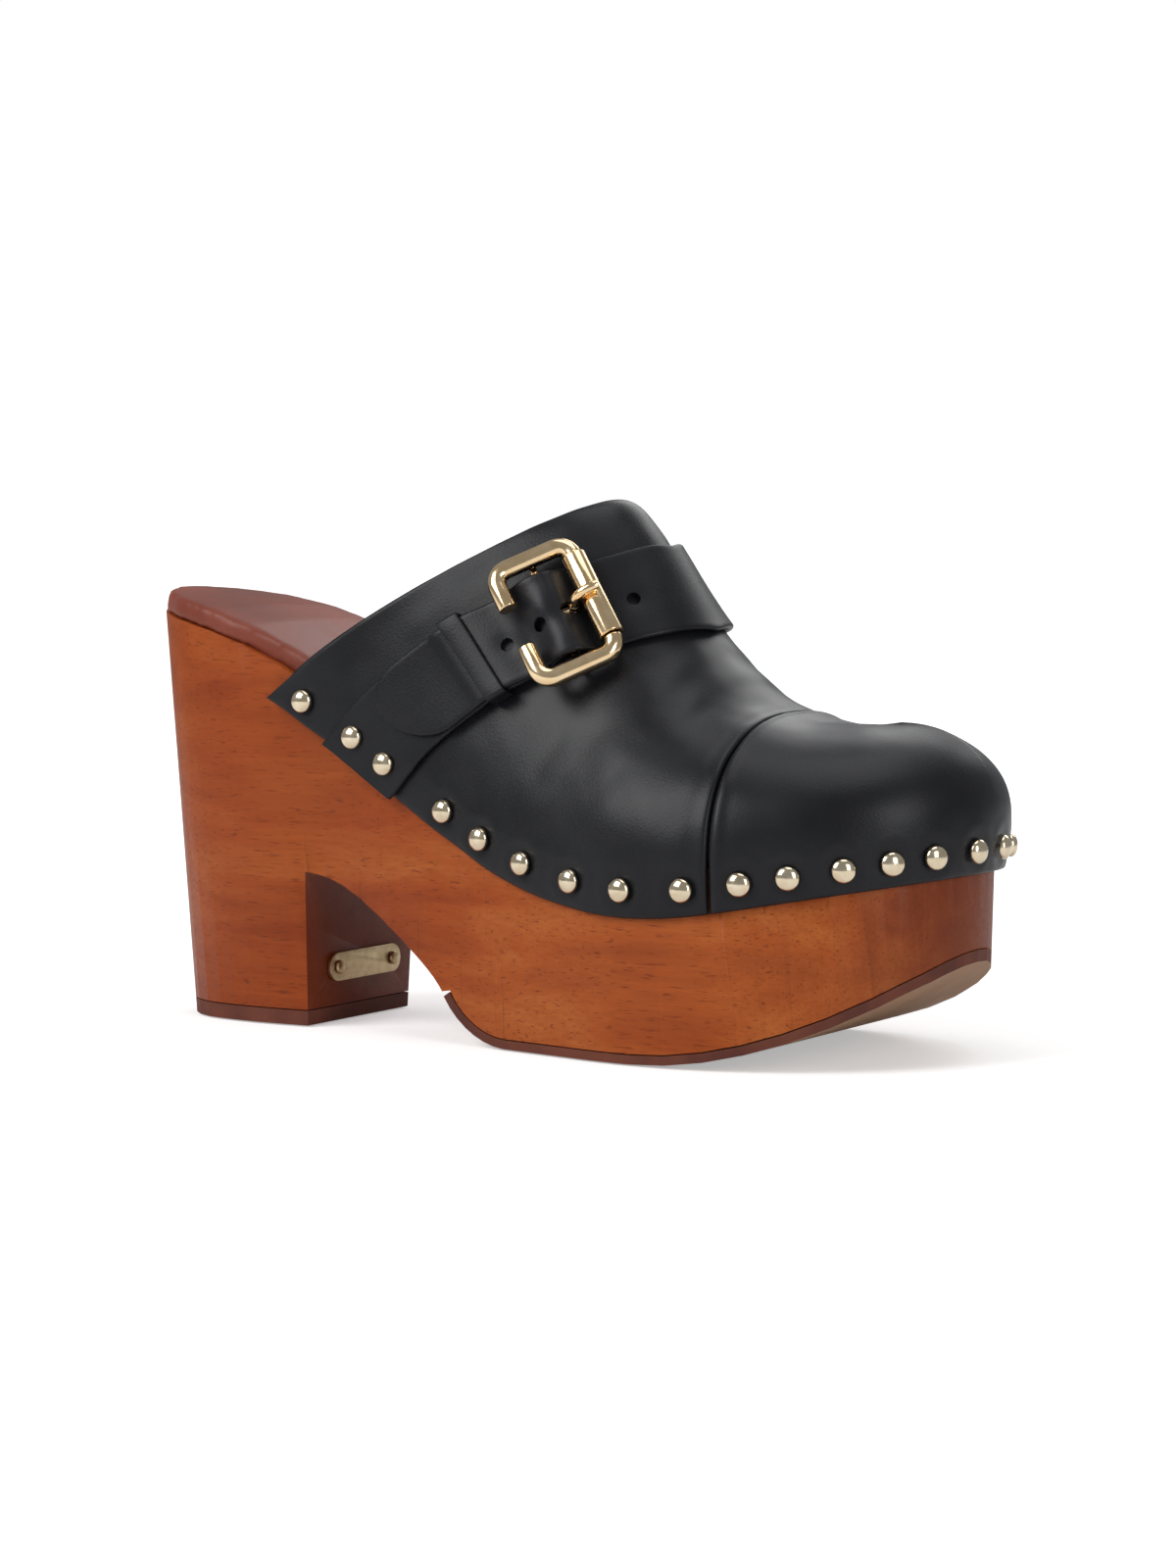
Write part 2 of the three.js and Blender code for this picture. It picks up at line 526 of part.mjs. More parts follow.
// The billet lies on the lower strap, climbs over the centre bar and comes down on the vamp.
const TIP = { behindBar: 52, length: 11 };
const overStrap = STRAP.thickness + 0.28;
const OVER_BAR = [[-12, 3.1, 1.5], [-7, 4.4, 1.5], [-2, 6.7, 1.5], [1, 6.75, 1.5], [2.6, 6, 1.4],
  [4.6, 4.1, 1.3], [6.8, 2.2, 1.3], [9.5, 1.2, 1.3], [13, 1.1, 1.3], [19, 1.3, 1.5], [28, 1.6, 1.5],
  [40, 1.85, 1.5]];
const billetPath = pathThrough([
  [BAR_S - TIP.behindBar, rest + overStrap, 1.3], full(BAR_S - 38, rest + overStrap),
  full(keeperFrom - 5, rest + overStrap + 0.3), full(keeperFrom - 1, onKeeper + overStrap),
  full(keeperTo + 1, onKeeper + overStrap),
  ...OVER_BAR.map(([s, h, thickness]) => [BAR_S + s, h, thickness]),
  full(150, 1.95), full(180, rest + 0.4), full(205, rest), full(224, rest),
], 46);
const tipHalf = (s) => {
  const d = Math.min(1, (s - (BAR_S - TIP.behindBar)) / TIP.length);
  return 0.5 * Math.sqrt(Math.max(0.02, 1 - (1 - d) ** 2));
};
const holeAt = (s, height) => {
  const p = strapPoint(s, HOLE.across, height);
  const n = strapPoint(s, HOLE.across, height + 1).sub(p).normalize();
  const x = alongStrap.clone().addScaledVector(n, -alongStrap.dot(n)).normalize();
  const place = new THREE.Matrix4().makeBasis(x, n, x.clone().cross(n)).setPosition(p);
  return solid(new THREE.CylinderGeometry(HOLE.radius, HOLE.radius, 9, 12).applyMatrix4(place));
};
// Three round holes, and the one that the prong has drawn long.
const PRONG_HOLE_S = BAR_S + 6.4;
const strapHoles = [-2, -1, 1.33].map((k) => holeAt(PRONG_HOLE_S + k * HOLE.spacing, 3));
strapHoles.push(solid(onBuckle(new THREE.CylinderGeometry(HOLE.radius, HOLE.radius, 12, 12)
  .rotateX(Math.PI / 2).scale(1.8, 1, 1).translate(4.8, 0, 6))));
const prongSlot = solid(onBuckle(new THREE.BoxGeometry(8, 3, 7).translate(0.6, 0, 3.2)));
const lowerHalf = (s) => lerp(0.5, 0.46, smooth(s, BAR_S - 18, BAR_S - 8)); // narrower at the bar
const lowerBody = cut(solid(band(lowerPath, lowerHalf)), [prongSlot, holeBodies]);
const billetBody = cut(solid(band(billetPath, tipHalf)), [...strapHoles, holeBodies]);

// A closed line round both straps at s: a rectangle with its corners cut by a small round.
function keeperRing(s, side, low, high, round) {
  const corners = [[side, low], [side, high], [-side, high], [-side, low]];
  const points = [];
  corners.forEach(([y, h], i) => {
    const inwards = h === high ? -round : round;
    const near = [[y, h + inwards], [y - Math.sign(y) * round, h]];
    points.push(...(i % 2 ? near : near.reverse()));
    if (i % 2) {
      const turn = i === 1 ? 1 : -1;
      points.push(...[0.25, 0, -0.25].map((k) => [k * turn * STRAP.width, h]));
    }
  });
  return points.map(([y, h]) => strapPoint(s, 0.5 + y / STRAP.width, h));
}
const keeperHalf = STRAP.width / 2 + KEEPER.sideGap;
const keeperTop = onKeeper + overStrap + KEEPER.topGap;
const keeperOuter = (s) => keeperRing(s, keeperHalf + KEEPER.wall, GAP, keeperTop + KEEPER.wall, 0.9);
const keeperInner = (s) => keeperRing(s, keeperHalf, GAP + KEEPER.under, keeperTop, 0.2);
const keeperSheet = new LoftGeometry([
  keeperOuter(keeperFrom), keeperOuter(keeperTo),
  keeperInner(keeperTo), keeperInner(keeperFrom), keeperOuter(keeperFrom),
]);

// ---------- The pieces ----------
const pilotHoles = screwPlaces.map((y) => solid(placed(screwHole(SCREW_HOLE.inWood, 8, y, -7.2))));
add('wooden_sole', geometryOf(cut(woodBody, [holeBodies, ...pilotHoles])), STAINED_WOOD);
add('front_outsole', geometryOf(outsoleBody), RUBBER);
add('heel_top_lift', geometryOf(liftBody), RUBBER);

function insoleWall(inset, insetUnderUpper) {
  const ring = (z) => Array.from({ length: 52 }, (_, i) => {
    const { point, normal } = wall(i / 52);
    const inwards = lerp(inset, insetUnderUpper, smooth(point.x, 36, 52));
    return point.addScaledVector(normal, -inwards).setZ(z);
  });
  return solid(new LoftGeometry([ring(20), ring(140)], CAPPED));
}
const slab = (from, to) => (
  solid(acrossWidth([...topLine(from, -6, 245, 12), ...topLine(to, -6, 245, 12).reverse()])));
const { height, cover, inset, insetUnderUpper } = INSOLE;
const padBody = insoleWall(inset + cover + GAP, insetUnderUpper + cover + GAP)
  .intersect(slab(GAP, height - cover - GAP));
const hollow = insoleWall(inset + cover, insetUnderUpper + cover).intersect(slab(-5, height - cover));
const coverBody = insoleWall(inset, insetUnderUpper).intersect(slab(GAP, height)).subtract(hollow);
add('footbed_pad', geometryOf(padBody), FOAM);
add('footbed_cover', geometryOf(coverBody), TAN_LEATHER);

const SEAM_HALF = 0.001;
const leatherSheet = (v0, v1) => upperSheet({ v0, v1, depth: () => 0.001, thickness: LEATHER });
const vampSheet = leatherSheet(0, SEAM_V - SEAM_HALF);
const capSheet = leatherSheet(SEAM_V + SEAM_HALF, 1);
// The puff and the lining stand inside the leather, the lining stepping in behind the puff.
const LAYER_GAP = 0.5;
const PUFF_START = 0.72;
const puffSheet = upperSheet({
  v0: PUFF_START, v1: 1, q0: MARGIN + 0.04, depth: () => LEATHER + LAYER_GAP, thickness: PUFF,
});
const liningDepth = (v) => (
  LEATHER + LAYER_GAP + (PUFF + 0.45) * smooth(v, PUFF_START - 0.08, PUFF_START - 0.01));
const liningSheet = upperSheet({
  v0: 0.004, v1: 1, q0: MARGIN + 0.03, depth: liningDepth, thickness: LINING,
});
add('vamp', geometryOf(cut(solid(vampSheet), [holeBodies])), BLACK_LEATHER);
add('toe_cap', geometryOf(cut(solid(capSheet), [holeBodies])), BLACK_LEATHER);
add('toe_puff', welded(puffSheet), BOARD);
add('lining', welded(liningSheet), LINING_LEATHER);

add('strap_lower', geometryOf(lowerBody), BLACK_LEATHER);
add('strap_billet', geometryOf(billetBody), BLACK_LEATHER);
add('keeper_loop', welded(keeperSheet), BLACK_LEATHER);
add('buckle_frame', onBuckle(geometryOf(frameBody)), BRASS);
add('buckle_roller', welded(onBuckle(rollerGeometry)), BRASS);
add('buckle_prong', onBuckle(geometryOf(prongBody)), BRASS);

studs.forEach(({ seat, normal }, i) => {
  const side = i < STUD_PLACES.length ? 'outer' : 'inner';
  const number = String(i % STUD_PLACES.length + 1).padStart(2, '0');
  add(`stud_${side}_${number}`, welded(studGeometry()), BRASS, (mesh) => {
    mesh.position.copy(seat);
    mesh.quaternion.copy(alongNormal(normal));
  });
});
const plaqueBody = cut(
  solid(placed(obround(PLAQUE.length, PLAQUE.width, PLAQUE.thickness))),
  screwPlaces.map((y) => solid(placed(screwHole(SCREW_HOLE.inPlaque, 6, y, -3)))),
);
add('heel_plaque', geometryOf(plaqueBody), BRASS);
screwPlaces.forEach((y, i) => add(`plaque_screw_${i + 1}`, welded(screwGeometry(y)), BRASS));

// The origin lies on the ground under the middle of the shoe's bounding box.
const middle = new THREE.Box3().setFromObject(parts).getCenter(v3());
parts.position.set(-middle.x, -middle.y, 0);
const shoe = new THREE.Group();
shoe.add(parts);
export default shoe;
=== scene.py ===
import json
import math

import bmesh
import bpy
import numpy as np
from mathutils import Matrix, Vector, noise


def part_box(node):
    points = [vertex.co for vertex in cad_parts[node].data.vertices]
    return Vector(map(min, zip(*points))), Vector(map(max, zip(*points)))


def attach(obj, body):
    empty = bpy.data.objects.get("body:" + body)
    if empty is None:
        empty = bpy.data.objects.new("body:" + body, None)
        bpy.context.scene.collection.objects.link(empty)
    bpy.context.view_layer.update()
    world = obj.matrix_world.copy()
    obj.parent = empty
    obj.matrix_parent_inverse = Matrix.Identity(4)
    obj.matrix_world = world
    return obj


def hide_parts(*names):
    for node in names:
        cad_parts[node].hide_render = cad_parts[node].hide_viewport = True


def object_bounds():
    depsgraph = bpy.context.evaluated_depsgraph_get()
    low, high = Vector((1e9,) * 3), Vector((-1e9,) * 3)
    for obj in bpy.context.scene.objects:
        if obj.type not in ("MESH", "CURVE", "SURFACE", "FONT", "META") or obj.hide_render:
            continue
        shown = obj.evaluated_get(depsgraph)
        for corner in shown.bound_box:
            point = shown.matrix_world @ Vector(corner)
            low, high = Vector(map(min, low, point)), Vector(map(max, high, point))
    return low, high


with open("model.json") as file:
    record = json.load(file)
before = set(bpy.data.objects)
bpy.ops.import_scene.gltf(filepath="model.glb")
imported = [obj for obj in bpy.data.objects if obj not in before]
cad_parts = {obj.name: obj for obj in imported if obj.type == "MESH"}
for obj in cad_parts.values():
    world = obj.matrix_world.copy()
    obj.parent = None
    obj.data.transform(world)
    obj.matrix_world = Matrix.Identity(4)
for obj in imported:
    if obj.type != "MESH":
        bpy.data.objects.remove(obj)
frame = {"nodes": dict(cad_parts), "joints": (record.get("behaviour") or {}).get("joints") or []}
cad_low, cad_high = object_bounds()
nodes = frame["nodes"]
bpy.ops.object.select_all(action="DESELECT")


# ---------------------------------------------------------------------------------------------
# Camera. It looks at the shoe's outer side from a little in front of it, almost level.
# ---------------------------------------------------------------------------------------------
LOOK_AT = Vector((-0.0018, 0.0001, 0.070))
azimuth = math.radians(30.33)
elevation = math.radians(3.53)
level = math.cos(elevation)
back = Vector((math.sin(azimuth) * level, -math.cos(azimuth) * level, math.sin(elevation)))
camera_data = bpy.data.cameras.new("camera")
camera_data.lens = 88.3
camera_data.sensor_width = 36.0
camera_data.shift_x = 0.0159
camera_data.shift_y = -0.0129
camera = bpy.data.objects.new("camera", camera_data)
bpy.context.scene.collection.objects.link(camera)
camera.location = LOOK_AT + back
camera.rotation_mode = "QUATERNION"
camera.rotation_quaternion = (-back).to_track_quat("-Z", "Y")
bpy.context.scene.camera = camera


# ---------------------------------------------------------------------------------------------
# Wooden sole: one block of wood with its heel, stained orange-brown and given a satin lacquer.
# It is milled to shape and its edges are eased by hand, so each long edge is slightly rounded.
# ---------------------------------------------------------------------------------------------
SOLE_EDGE = 0.0009
STEP_X = -0.0165  # where the arch steps down to the front outsole
STEP_REACH = 0.004
STEP_TOP = 0.02
SHORTEST_EDGE = 0.0015
SHARP = math.radians(32)


def merged_copy(name, node):
    """A copy of a CAD node's mesh with its loose triangles joined."""
    mesh = nodes[node].data.copy()
    mesh.name = name
    mesh.materials.clear()
    piece = bpy.data.objects.new(name, mesh)
    bpy.context.scene.collection.objects.link(piece)
    work = bmesh.new()
    work.from_mesh(mesh)
    bmesh.ops.remove_doubles(work, verts=work.verts, dist=1e-6)
    bmesh.ops.recalc_face_normals(work, faces=work.faces)
    work.to_mesh(mesh)
    work.free()
    return piece

def only(piece):
    """Makes piece the only selected and active object."""
    bpy.ops.object.select_all(action="DESELECT")
    piece.select_set(True)
    bpy.context.view_layer.objects.active = piece

def apply_modifiers(piece):
    """Applies every modifier on the piece, first to last."""
    only(piece)
    for modifier in list(piece.modifiers):
        bpy.ops.object.modifier_apply(modifier=modifier.name)

def smooth_by_angle(piece, degrees):
    """Shades the piece smooth except at edges sharper than the angle."""
    only(piece)
    bpy.ops.object.shade_smooth_by_angle(angle=math.radians(degrees))

def material(name, colour, roughness, metallic=0.0, specular=0.5):
    """A new node material; returns it with its node maker, its linker and its Principled shader."""
    made = bpy.data.materials.new(name)
    made.use_nodes = True
    shader = made.node_tree.nodes["Principled BSDF"]
    shader.inputs["Base Color"].default_value = (*colour, 1)
    shader.inputs["Roughness"].default_value = roughness
    shader.inputs["Metallic"].default_value = metallic
    shader.inputs["Specular IOR Level"].default_value = specular
    return made, made.node_tree.nodes.new, made.node_tree.links.new, shader

def stretched(new, link, scale):
    """Object coordinates scaled per axis."""
    place = new("ShaderNodeTexCoord")
    mapping = new("ShaderNodeMapping")
    mapping.inputs["Scale"].default_value = scale
    link(place.outputs["Object"], mapping.inputs["Vector"])
    return mapping.outputs["Vector"]

def facing(new, link, axis):
    """How far the surface faces along one of the shoe's axes, from -1 to 1."""
    place = new("ShaderNodeTexCoord")
    split = new("ShaderNodeSeparateXYZ")
    link(place.outputs["Normal"], split.inputs["Vector"])
    return split.outputs[axis]

def place_along(new, link, axis):
    """Where the surface lies along one of the shoe's axes, in metres."""
    place = new("ShaderNodeTexCoord")
    split = new("ShaderNodeSeparateXYZ")
    link(place.outputs["Object"], split.inputs["Vector"])
    return split.outputs[axis]

def noise_at(new, link, vector, scale, detail=4.0, rough=0.55, distort=0.0):
    """A noise texture read at a vector."""
    texture = new("ShaderNodeTexNoise")
    texture.inputs["Scale"].default_value = scale
    texture.inputs["Detail"].default_value = detail
    texture.inputs["Roughness"].default_value = rough
    texture.inputs["Distortion"].default_value = distort
    link(vector, texture.inputs["Vector"])
    return texture.outputs["Fac"]

def ramp(new, link, value, stops):
    """A colour ramp over a value; stops are (place, colour)."""
    node = new("ShaderNodeValToRGB")
    while len(node.color_ramp.elements) < len(stops):
        node.color_ramp.elements.new(0.5)
    for element, (place, colour) in zip(node.color_ramp.elements, stops):
        element.position = place
        element.color = (*colour, 1)
    link(value, node.inputs["Fac"])
    return node.outputs["Color"]

def spread(new, link, value, low, high, to_low, to_high):
    """Maps a value from one range to another, clamped."""
    node = new("ShaderNodeMapRange")
    node.inputs["From Min"].default_value = low
    node.inputs["From Max"].default_value = high
    node.inputs["To Min"].default_value = to_low
    node.inputs["To Max"].default_value = to_high
    link(value, node.inputs["Value"])
    return node.outputs["Result"]

def blended(new, link, factor, first, second, how="MIX"):
    """Mixes two colours; each is a colour or a socket, and so is the factor."""
    node = new("ShaderNodeMix")
    node.data_type = "RGBA"
    node.blend_type = how
    inputs = [s for s in node.inputs if s.type == "RGBA"]
    if isinstance(factor, float):
        node.inputs[0].default_value = factor
    else:
        link(factor, node.inputs[0])
    for socket, value in zip(inputs, (first, second)):
        if isinstance(value, tuple):
            socket.default_value = (*value, 1)
        else:
            link(value, socket)
    return [s for s in node.outputs if s.type == "RGBA"][0]

def bumped(new, link, shader, height, strength, distance, under=None):
    """Feeds a height to the shader's normal through a Bump node, over another bump if one is given."""
    node = new("ShaderNodeBump")
    node.inputs["Strength"].default_value = strength
    node.inputs["Distance"].default_value = distance
    link(height, node.inputs["Height"])
    if under:
        link(under, node.inputs["Normal"])
    link(node.outputs["Normal"], shader.inputs["Normal"])
    return node.outputs["Normal"]

WOOD_DEEP = (0.220, 0.036, 0.0060)
WOOD_MID = (0.330, 0.064, 0.0100)
WOOD_PALE = (0.420, 0.112, 0.0230)
WOOD_PORE = (0.120, 0.020, 0.0050)
END_STAIN_AND_SHADE = (0.120, 0.022, 0.0075)  # end grain drinks more stain; on faces turned forward it is also painted shade

wood, new, link, shader = material("stained_wood", WOOD_MID, 0.4, specular=0.12)
bands = noise_at(new, link, stretched(new, link, (7.0, 60.0, 60.0)), 1.5, 4.0, 0.55, 0.5)
fibres = noise_at(new, link, stretched(new, link, (40.0, 700.0, 700.0)), 1.6, 3.0, 0.6, 0.2)
dashes = noise_at(new, link, stretched(new, link, (170.0, 2100.0, 2100.0)), 1.0, 1.0, 0.5)
clouds = noise_at(new, link, stretched(new, link, (14.0, 20.0, 20.0)), 1.0, 2.0)
base = ramp(new, link, bands, [(0.32, WOOD_DEEP), (0.50, WOOD_MID), (0.72, WOOD_PALE)])
rearward = spread(new, link, place_along(new, link, "X"), -0.13, 0.02, 0.50, 0.0)
base = blended(new, link, rearward, base, WOOD_DEEP)
base = blended(new, link, spread(new, link, clouds, 0.42, 0.68, 0.0, 0.40), base, WOOD_PALE)
base = blended(new, link, spread(new, link, fibres, 0.38, 0.68, 0.0, 0.30), base, WOOD_DEEP)
pores = spread(new, link, dashes, 0.62, 0.72, 0.0, 0.60)
base = blended(new, link, pores, base, WOOD_PORE)
# Painted shade and stain: faces turned forward, the heel breast and the toe's front, are darkened partly as
# end grain that takes more stain and partly as painted shade, because they turn away from the key light.
# Faces turned back, at the heel's back, are darkened too.
front_shade_and_end_grain = spread(new, link, facing(new, link, "X"), 0.55, 0.98, 0.0, 0.75)
back_end = spread(new, link, facing(new, link, "X"), -0.45, -0.98, 0.0, 0.55)
base = blended(new, link, front_shade_and_end_grain, base, END_STAIN_AND_SHADE)
base = blended(new, link, back_end, base, END_STAIN_AND_SHADE)
link(base, shader.inputs["Base Color"])
link(spread(new, link, fibres, 0.3, 0.7, 0.38, 0.52), shader.inputs["Roughness"])
first = bumped(new, link, shader, pores, 0.20, 0.00008)
bumped(new, link, shader, fibres, 0.15, 0.00008, first)
shader.inputs["Coat Weight"].default_value = 0.1
shader.inputs["Coat Roughness"].default_value = 0.32

sole = merged_copy("sole_block", "wooden_sole")
work = bmesh.new()
work.from_mesh(sole.data)
weight = work.edges.layers.float.new("bevel_weight_edge")
for edge in work.edges:
    middle = (edge.verts[0].co + edge.verts[1].co) / 2
    at_step = abs(middle.x - STEP_X) < STEP_REACH and middle.z < STEP_TOP
    if not at_step and edge.calc_length() > SHORTEST_EDGE and edge.calc_face_angle(0) > SHARP:
        edge[weight] = 1.0
work.to_mesh(sole.data)
work.free()
eased = sole.modifiers.new("eased", "BEVEL")
eased.limit_method = "WEIGHT"
eased.width = SOLE_EDGE
eased.segments = 3
apply_modifiers(sole)
sole.data.materials.append(wood)
smooth_by_angle(sole, 28)
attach(sole, "shoe")
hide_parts("wooden_sole")


# ---------------------------------------------------------------------------------------------
# Front outsole and heel top lift: sheets of hard dark rubber, glued on and trimmed flush, with
# a matt, slightly scuffed face. They keep their exact form, because they carry the shoe.
# ---------------------------------------------------------------------------------------------
RUBBER_DARK = (0.085, 0.020, 0.011)
RUBBER_WORN = (0.150, 0.042, 0.023)
RUBBER_TREAD = (0.330, 0.190, 0.110)

mottle = bpy.data.node_groups.new("mottle", "ShaderNodeTree")
given, texture = mottle.nodes.new("NodeGroupInput"), mottle.nodes.new("ShaderNodeTexNoise")
for label, value in (("Scale", 100.0), ("Detail", 3.0), ("Roughness", 0.6)):
    socket = mottle.interface.new_socket(name=label, in_out="INPUT", socket_type="NodeSocketFloat")
    socket.default_value = value
    mottle.links.new(given.outputs[label], texture.inputs[label])
place = mottle.nodes.new("ShaderNodeTexCoord").outputs["Object"]
mottle.links.new(place, texture.inputs["Vector"])
mottle.interface.new_socket(name="Value", in_out="OUTPUT", socket_type="NodeSocketFloat")
mottle.links.new(texture.outputs["Fac"], mottle.nodes.new("NodeGroupOutput").inputs["Value"])

def mottled(new, scale, detail=3.0, rough=0.6):
    """The mottle effect in a material, with its own scale; returns its value."""
    node = new("ShaderNodeGroup")
    node.node_tree = mottle
    for label, value in (("Scale", scale), ("Detail", detail), ("Roughness", rough)):
        node.inputs[label].default_value = value
    return node.outputs["Value"]

def coloured(new, link, shader, value, low_colour, high_colour):
    """Gives the shader a base colour that runs between two colours with a value."""
    colour = ramp(new, link, value, [(0.3, low_colour), (0.7, high_colour)])
    link(colour, shader.inputs["Base Color"])

rubber, new, link, shader = material("sole_rubber", RUBBER_DARK, 0.7, specular=0.3)
speckle = mottled(new, 900.0)
wear = mottled(new, 60.0, detail=4.0)
dark_rubber = ramp(new, link, wear, [(0.35, RUBBER_DARK), (0.65, RUBBER_WORN)])
tread = spread(new, link, facing(new, link, "Z"), -0.25, -0.45, 0.0, 1.0)
link(blended(new, link, tread, dark_rubber, RUBBER_TREAD), shader.inputs["Base Color"])
link(spread(new, link, wear, 0.3, 0.7, 0.55, 0.8), shader.inputs["Roughness"])
bumped(new, link, shader, speckle, 0.3, 0.00012)
for name in ("front_outsole", "heel_top_lift"):
    nodes[name].data.materials.clear()
    nodes[name].data.materials.append(rubber)


# ---------------------------------------------------------------------------------------------
# Footbed: a foam pad under smooth tan leather, drawn over its edge and glued to the wood. The
# foam makes it crown softly and rounds its rim. Its foam and cover are one padded piece.
# ---------------------------------------------------------------------------------------------
FOOTBED_THICKNESS = 0.0054
FOOTBED_VOXEL = 0.0009
FOOTBED_CROWN = 0.0013
FOOTBED_ROWS = 60
ROW_STEP = 0.0041

TAN_DEEP = (0.155, 0.032, 0.017)
TAN_MID = (0.215, 0.050, 0.029)
TAN_PALE = (0.270, 0.076, 0.048)

tan, new, link, shader = material("insole_leather", TAN_MID, 0.42, specular=0.25)
pores = mottled(new, 1400.0, detail=4.0)
patches = mottled(new, 35.0)
tan_colour = ramp(new, link, patches, [(0.30, TAN_DEEP), (0.55, TAN_MID), (0.75, TAN_PALE)])
dark_pores = spread(new, link, pores, 0.4, 0.7, 0.0, 0.25)
link(blended(new, link, dark_pores, tan_colour, TAN_DEEP), shader.inputs["Base Color"])
link(spread(new, link, patches, 0.3, 0.7, 0.36, 0.50), shader.inputs["Roughness"])
bumped(new, link, shader, pores, 0.18, 0.00015)

footbed = merged_copy("footbed", "footbed_cover")
work = bmesh.new()
work.from_mesh(footbed.data)
bmesh.ops.delete(work, geom=[f for f in work.faces if f.normal.z < 0.35], context="FACES")
for step in range(FOOTBED_ROWS):
    x = cad_low.x + ROW_STEP * (step + 1)
    geometry = work.verts[:] + work.edges[:] + work.faces[:]
    bmesh.ops.bisect_plane(work, geom=geometry, plane_co=(x, 0, 0), plane_no=(1, 0, 0), dist=1e-6)
work.to_mesh(footbed.data)
work.free()
body = footbed.modifiers.new("thickness", "SOLIDIFY")
body.thickness = FOOTBED_THICKNESS
body.offset = -1
remesh = footbed.modifiers.new("even", "REMESH")
remesh.mode = "VOXEL"
remesh.voxel_size = FOOTBED_VOXEL
relax = footbed.modifiers.new("soft", "SMOOTH")
relax.factor = 0.5
relax.iterations = 12
apply_modifiers(footbed)
work = bmesh.new()
work.from_mesh(footbed.data)
low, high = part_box("footbed_cover")
for vertex in work.verts:
    if vertex.normal.z > 0.3:
        half = 0.031 + 0.012 * max(0.0, min(1.0, (vertex.co.x + 0.01) / 0.05))
        across = min(1.0, abs(vertex.co.y) / half)
        vertex.co.z += FOOTBED_CROWN * (1 - across ** 2) * min(1.0, (vertex.co.x - low.x) / 0.03)
work.to_mesh(footbed.data)
work.free()
footbed.data.materials.append(tan)
for polygon in footbed.data.polygons:
    polygon.use_smooth = True
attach(footbed, "shoe")
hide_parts("footbed_cover", "footbed_pad")


# ---------------------------------------------------------------------------------------------
# Upper: smooth black calf, lasted over the foot's form and nailed to the wood with studs. The
# vamp runs from the throat to a closed seam, and a separate cap covers the toe.
# ---------------------------------------------------------------------------------------------
# Lengths here are millimetres from the back of the heel, as a last maker draws them.
HEEL_TO_ORIGIN = np.array([121.763, -0.128, 0.0])
LEATHER = 1.7
GAP = 0.3
WOOD_TOP = [(-4, 110.8), (0, 110.1), (25, 105.1), (40, 100.6), (50, 96.2), (62, 89.8), (75, 83.2),
            (100, 67.6), (125, 55.2), (150, 49.2), (175, 48.2), (205, 51.6), (240, 57.2), (248, 58.5)]
RIDGE = [(134, 138.3), (138, 138.3), (142, 136), (147, 130.2), (152, 122.8), (158, 113.6), (165, 103.2),
         (173, 94.6), (180, 88.6), (187, 85.2), (195, 82.6), (204, 82.4), (211, 82.6), (217, 83.4)]
PLAN = [(0, 0), (4, -14), (15, -26), (35, -31), (70, -31), (105, -33.5), (135, -40), (163, -45.6),
        (190, -44.6), (213, -36), (229, -23), (237, -8), (237.6, 8), (231, 24), (216, 37), (194, 44.5),
        (165, 45), (135, 39.5), (105, 33.5), (70, 31), (35, 31), (15, 26), (4, 14)]
MARGIN = 0.2
CORNER_X = 49
CORNER_TOP_X = 57
THROAT_X = 135
SPINE_END_X = 216
SEAM_V = 0.64

def lerp(a, b, t):
    return a + (b - a) * t

def smooth(x, low, high):
    t = np.clip((np.asarray(x, float) - low) / (high - low), 0, 1)
    return t * t * (3 - 2 * t)

def hermite(b, c, near, far, w):
    """Points between b and c that leave and arrive along two directions."""
    cubic = (2 * b - 2 * c + near + far) * w ** 3
    return cubic + (3 * c - 3 * b - 2 * near - far) * w ** 2 + near * w + b

def smooth_line(points, count=240):
    """Points of a smooth line through points."""
    p = np.array(points, float)
    t = np.linspace(0, len(p) - 1, count + 1)
    i = np.minimum(t.astype(int), len(p) - 2)
    w = (t - i)[:, None]
    a, b, c, d = p[np.maximum(i - 1, 0)], p[i], p[i + 1], p[np.minimum(i + 2, len(p) - 1)]
    return hermite(b, c, (c - a) / 2, (d - b) / 2, w)

def height_line(points):
    line = smooth_line(points)
    return lambda x: np.interp(x, line[:, 0], line[:, 1])

wood_top = height_line(WOOD_TOP)
ridge_height = height_line(RIDGE)

def closed_curve(points, per_span=120):
    """Points of a closed smooth curve with centripetal spacing."""
    p = np.array(points, float)
    made = []
    for i in range(len(p)):
        a, b, c, d = (p[(i + k) % len(p)] for k in (-1, 0, 1, 2))
        ab, bc, cd = (math.sqrt(np.linalg.norm(y - x)) for x, y in ((a, b), (b, c), (c, d)))
        near = ((b - a) / ab - (c - a) / (ab + bc) + (c - b) / bc) * bc
        far = ((c - b) / bc - (d - b) / (bc + cd) + (d - c) / cd) * bc
        w = (np.arange(per_span) / per_span)[:, None]
        made.append(hermite(b, c, near, far, w))
    return np.concatenate(made + [made[0][:1]])

outline = closed_curve(PLAN)
lengths = np.concatenate([[0], np.cumsum(np.linalg.norm(np.diff(outline, axis=0), axis=1))])
shares = lengths / lengths[-1]
tangents = np.gradient(outline, shares, axis=0)
tangents[0] = tangents[-1] = (tangents[0] + tangents[-1]) / 2
tip = int(np.argmax(outline[:, 0]))
TIP_U = shares[tip]

def share_at(side, x):
    outer = np.interp(x, outline[:tip + 1, 0], shares[:tip + 1])
    inner = np.interp(x, outline[tip:, 0][::-1], shares[tip:][::-1])
    return np.where(side < 0, outer, inner)

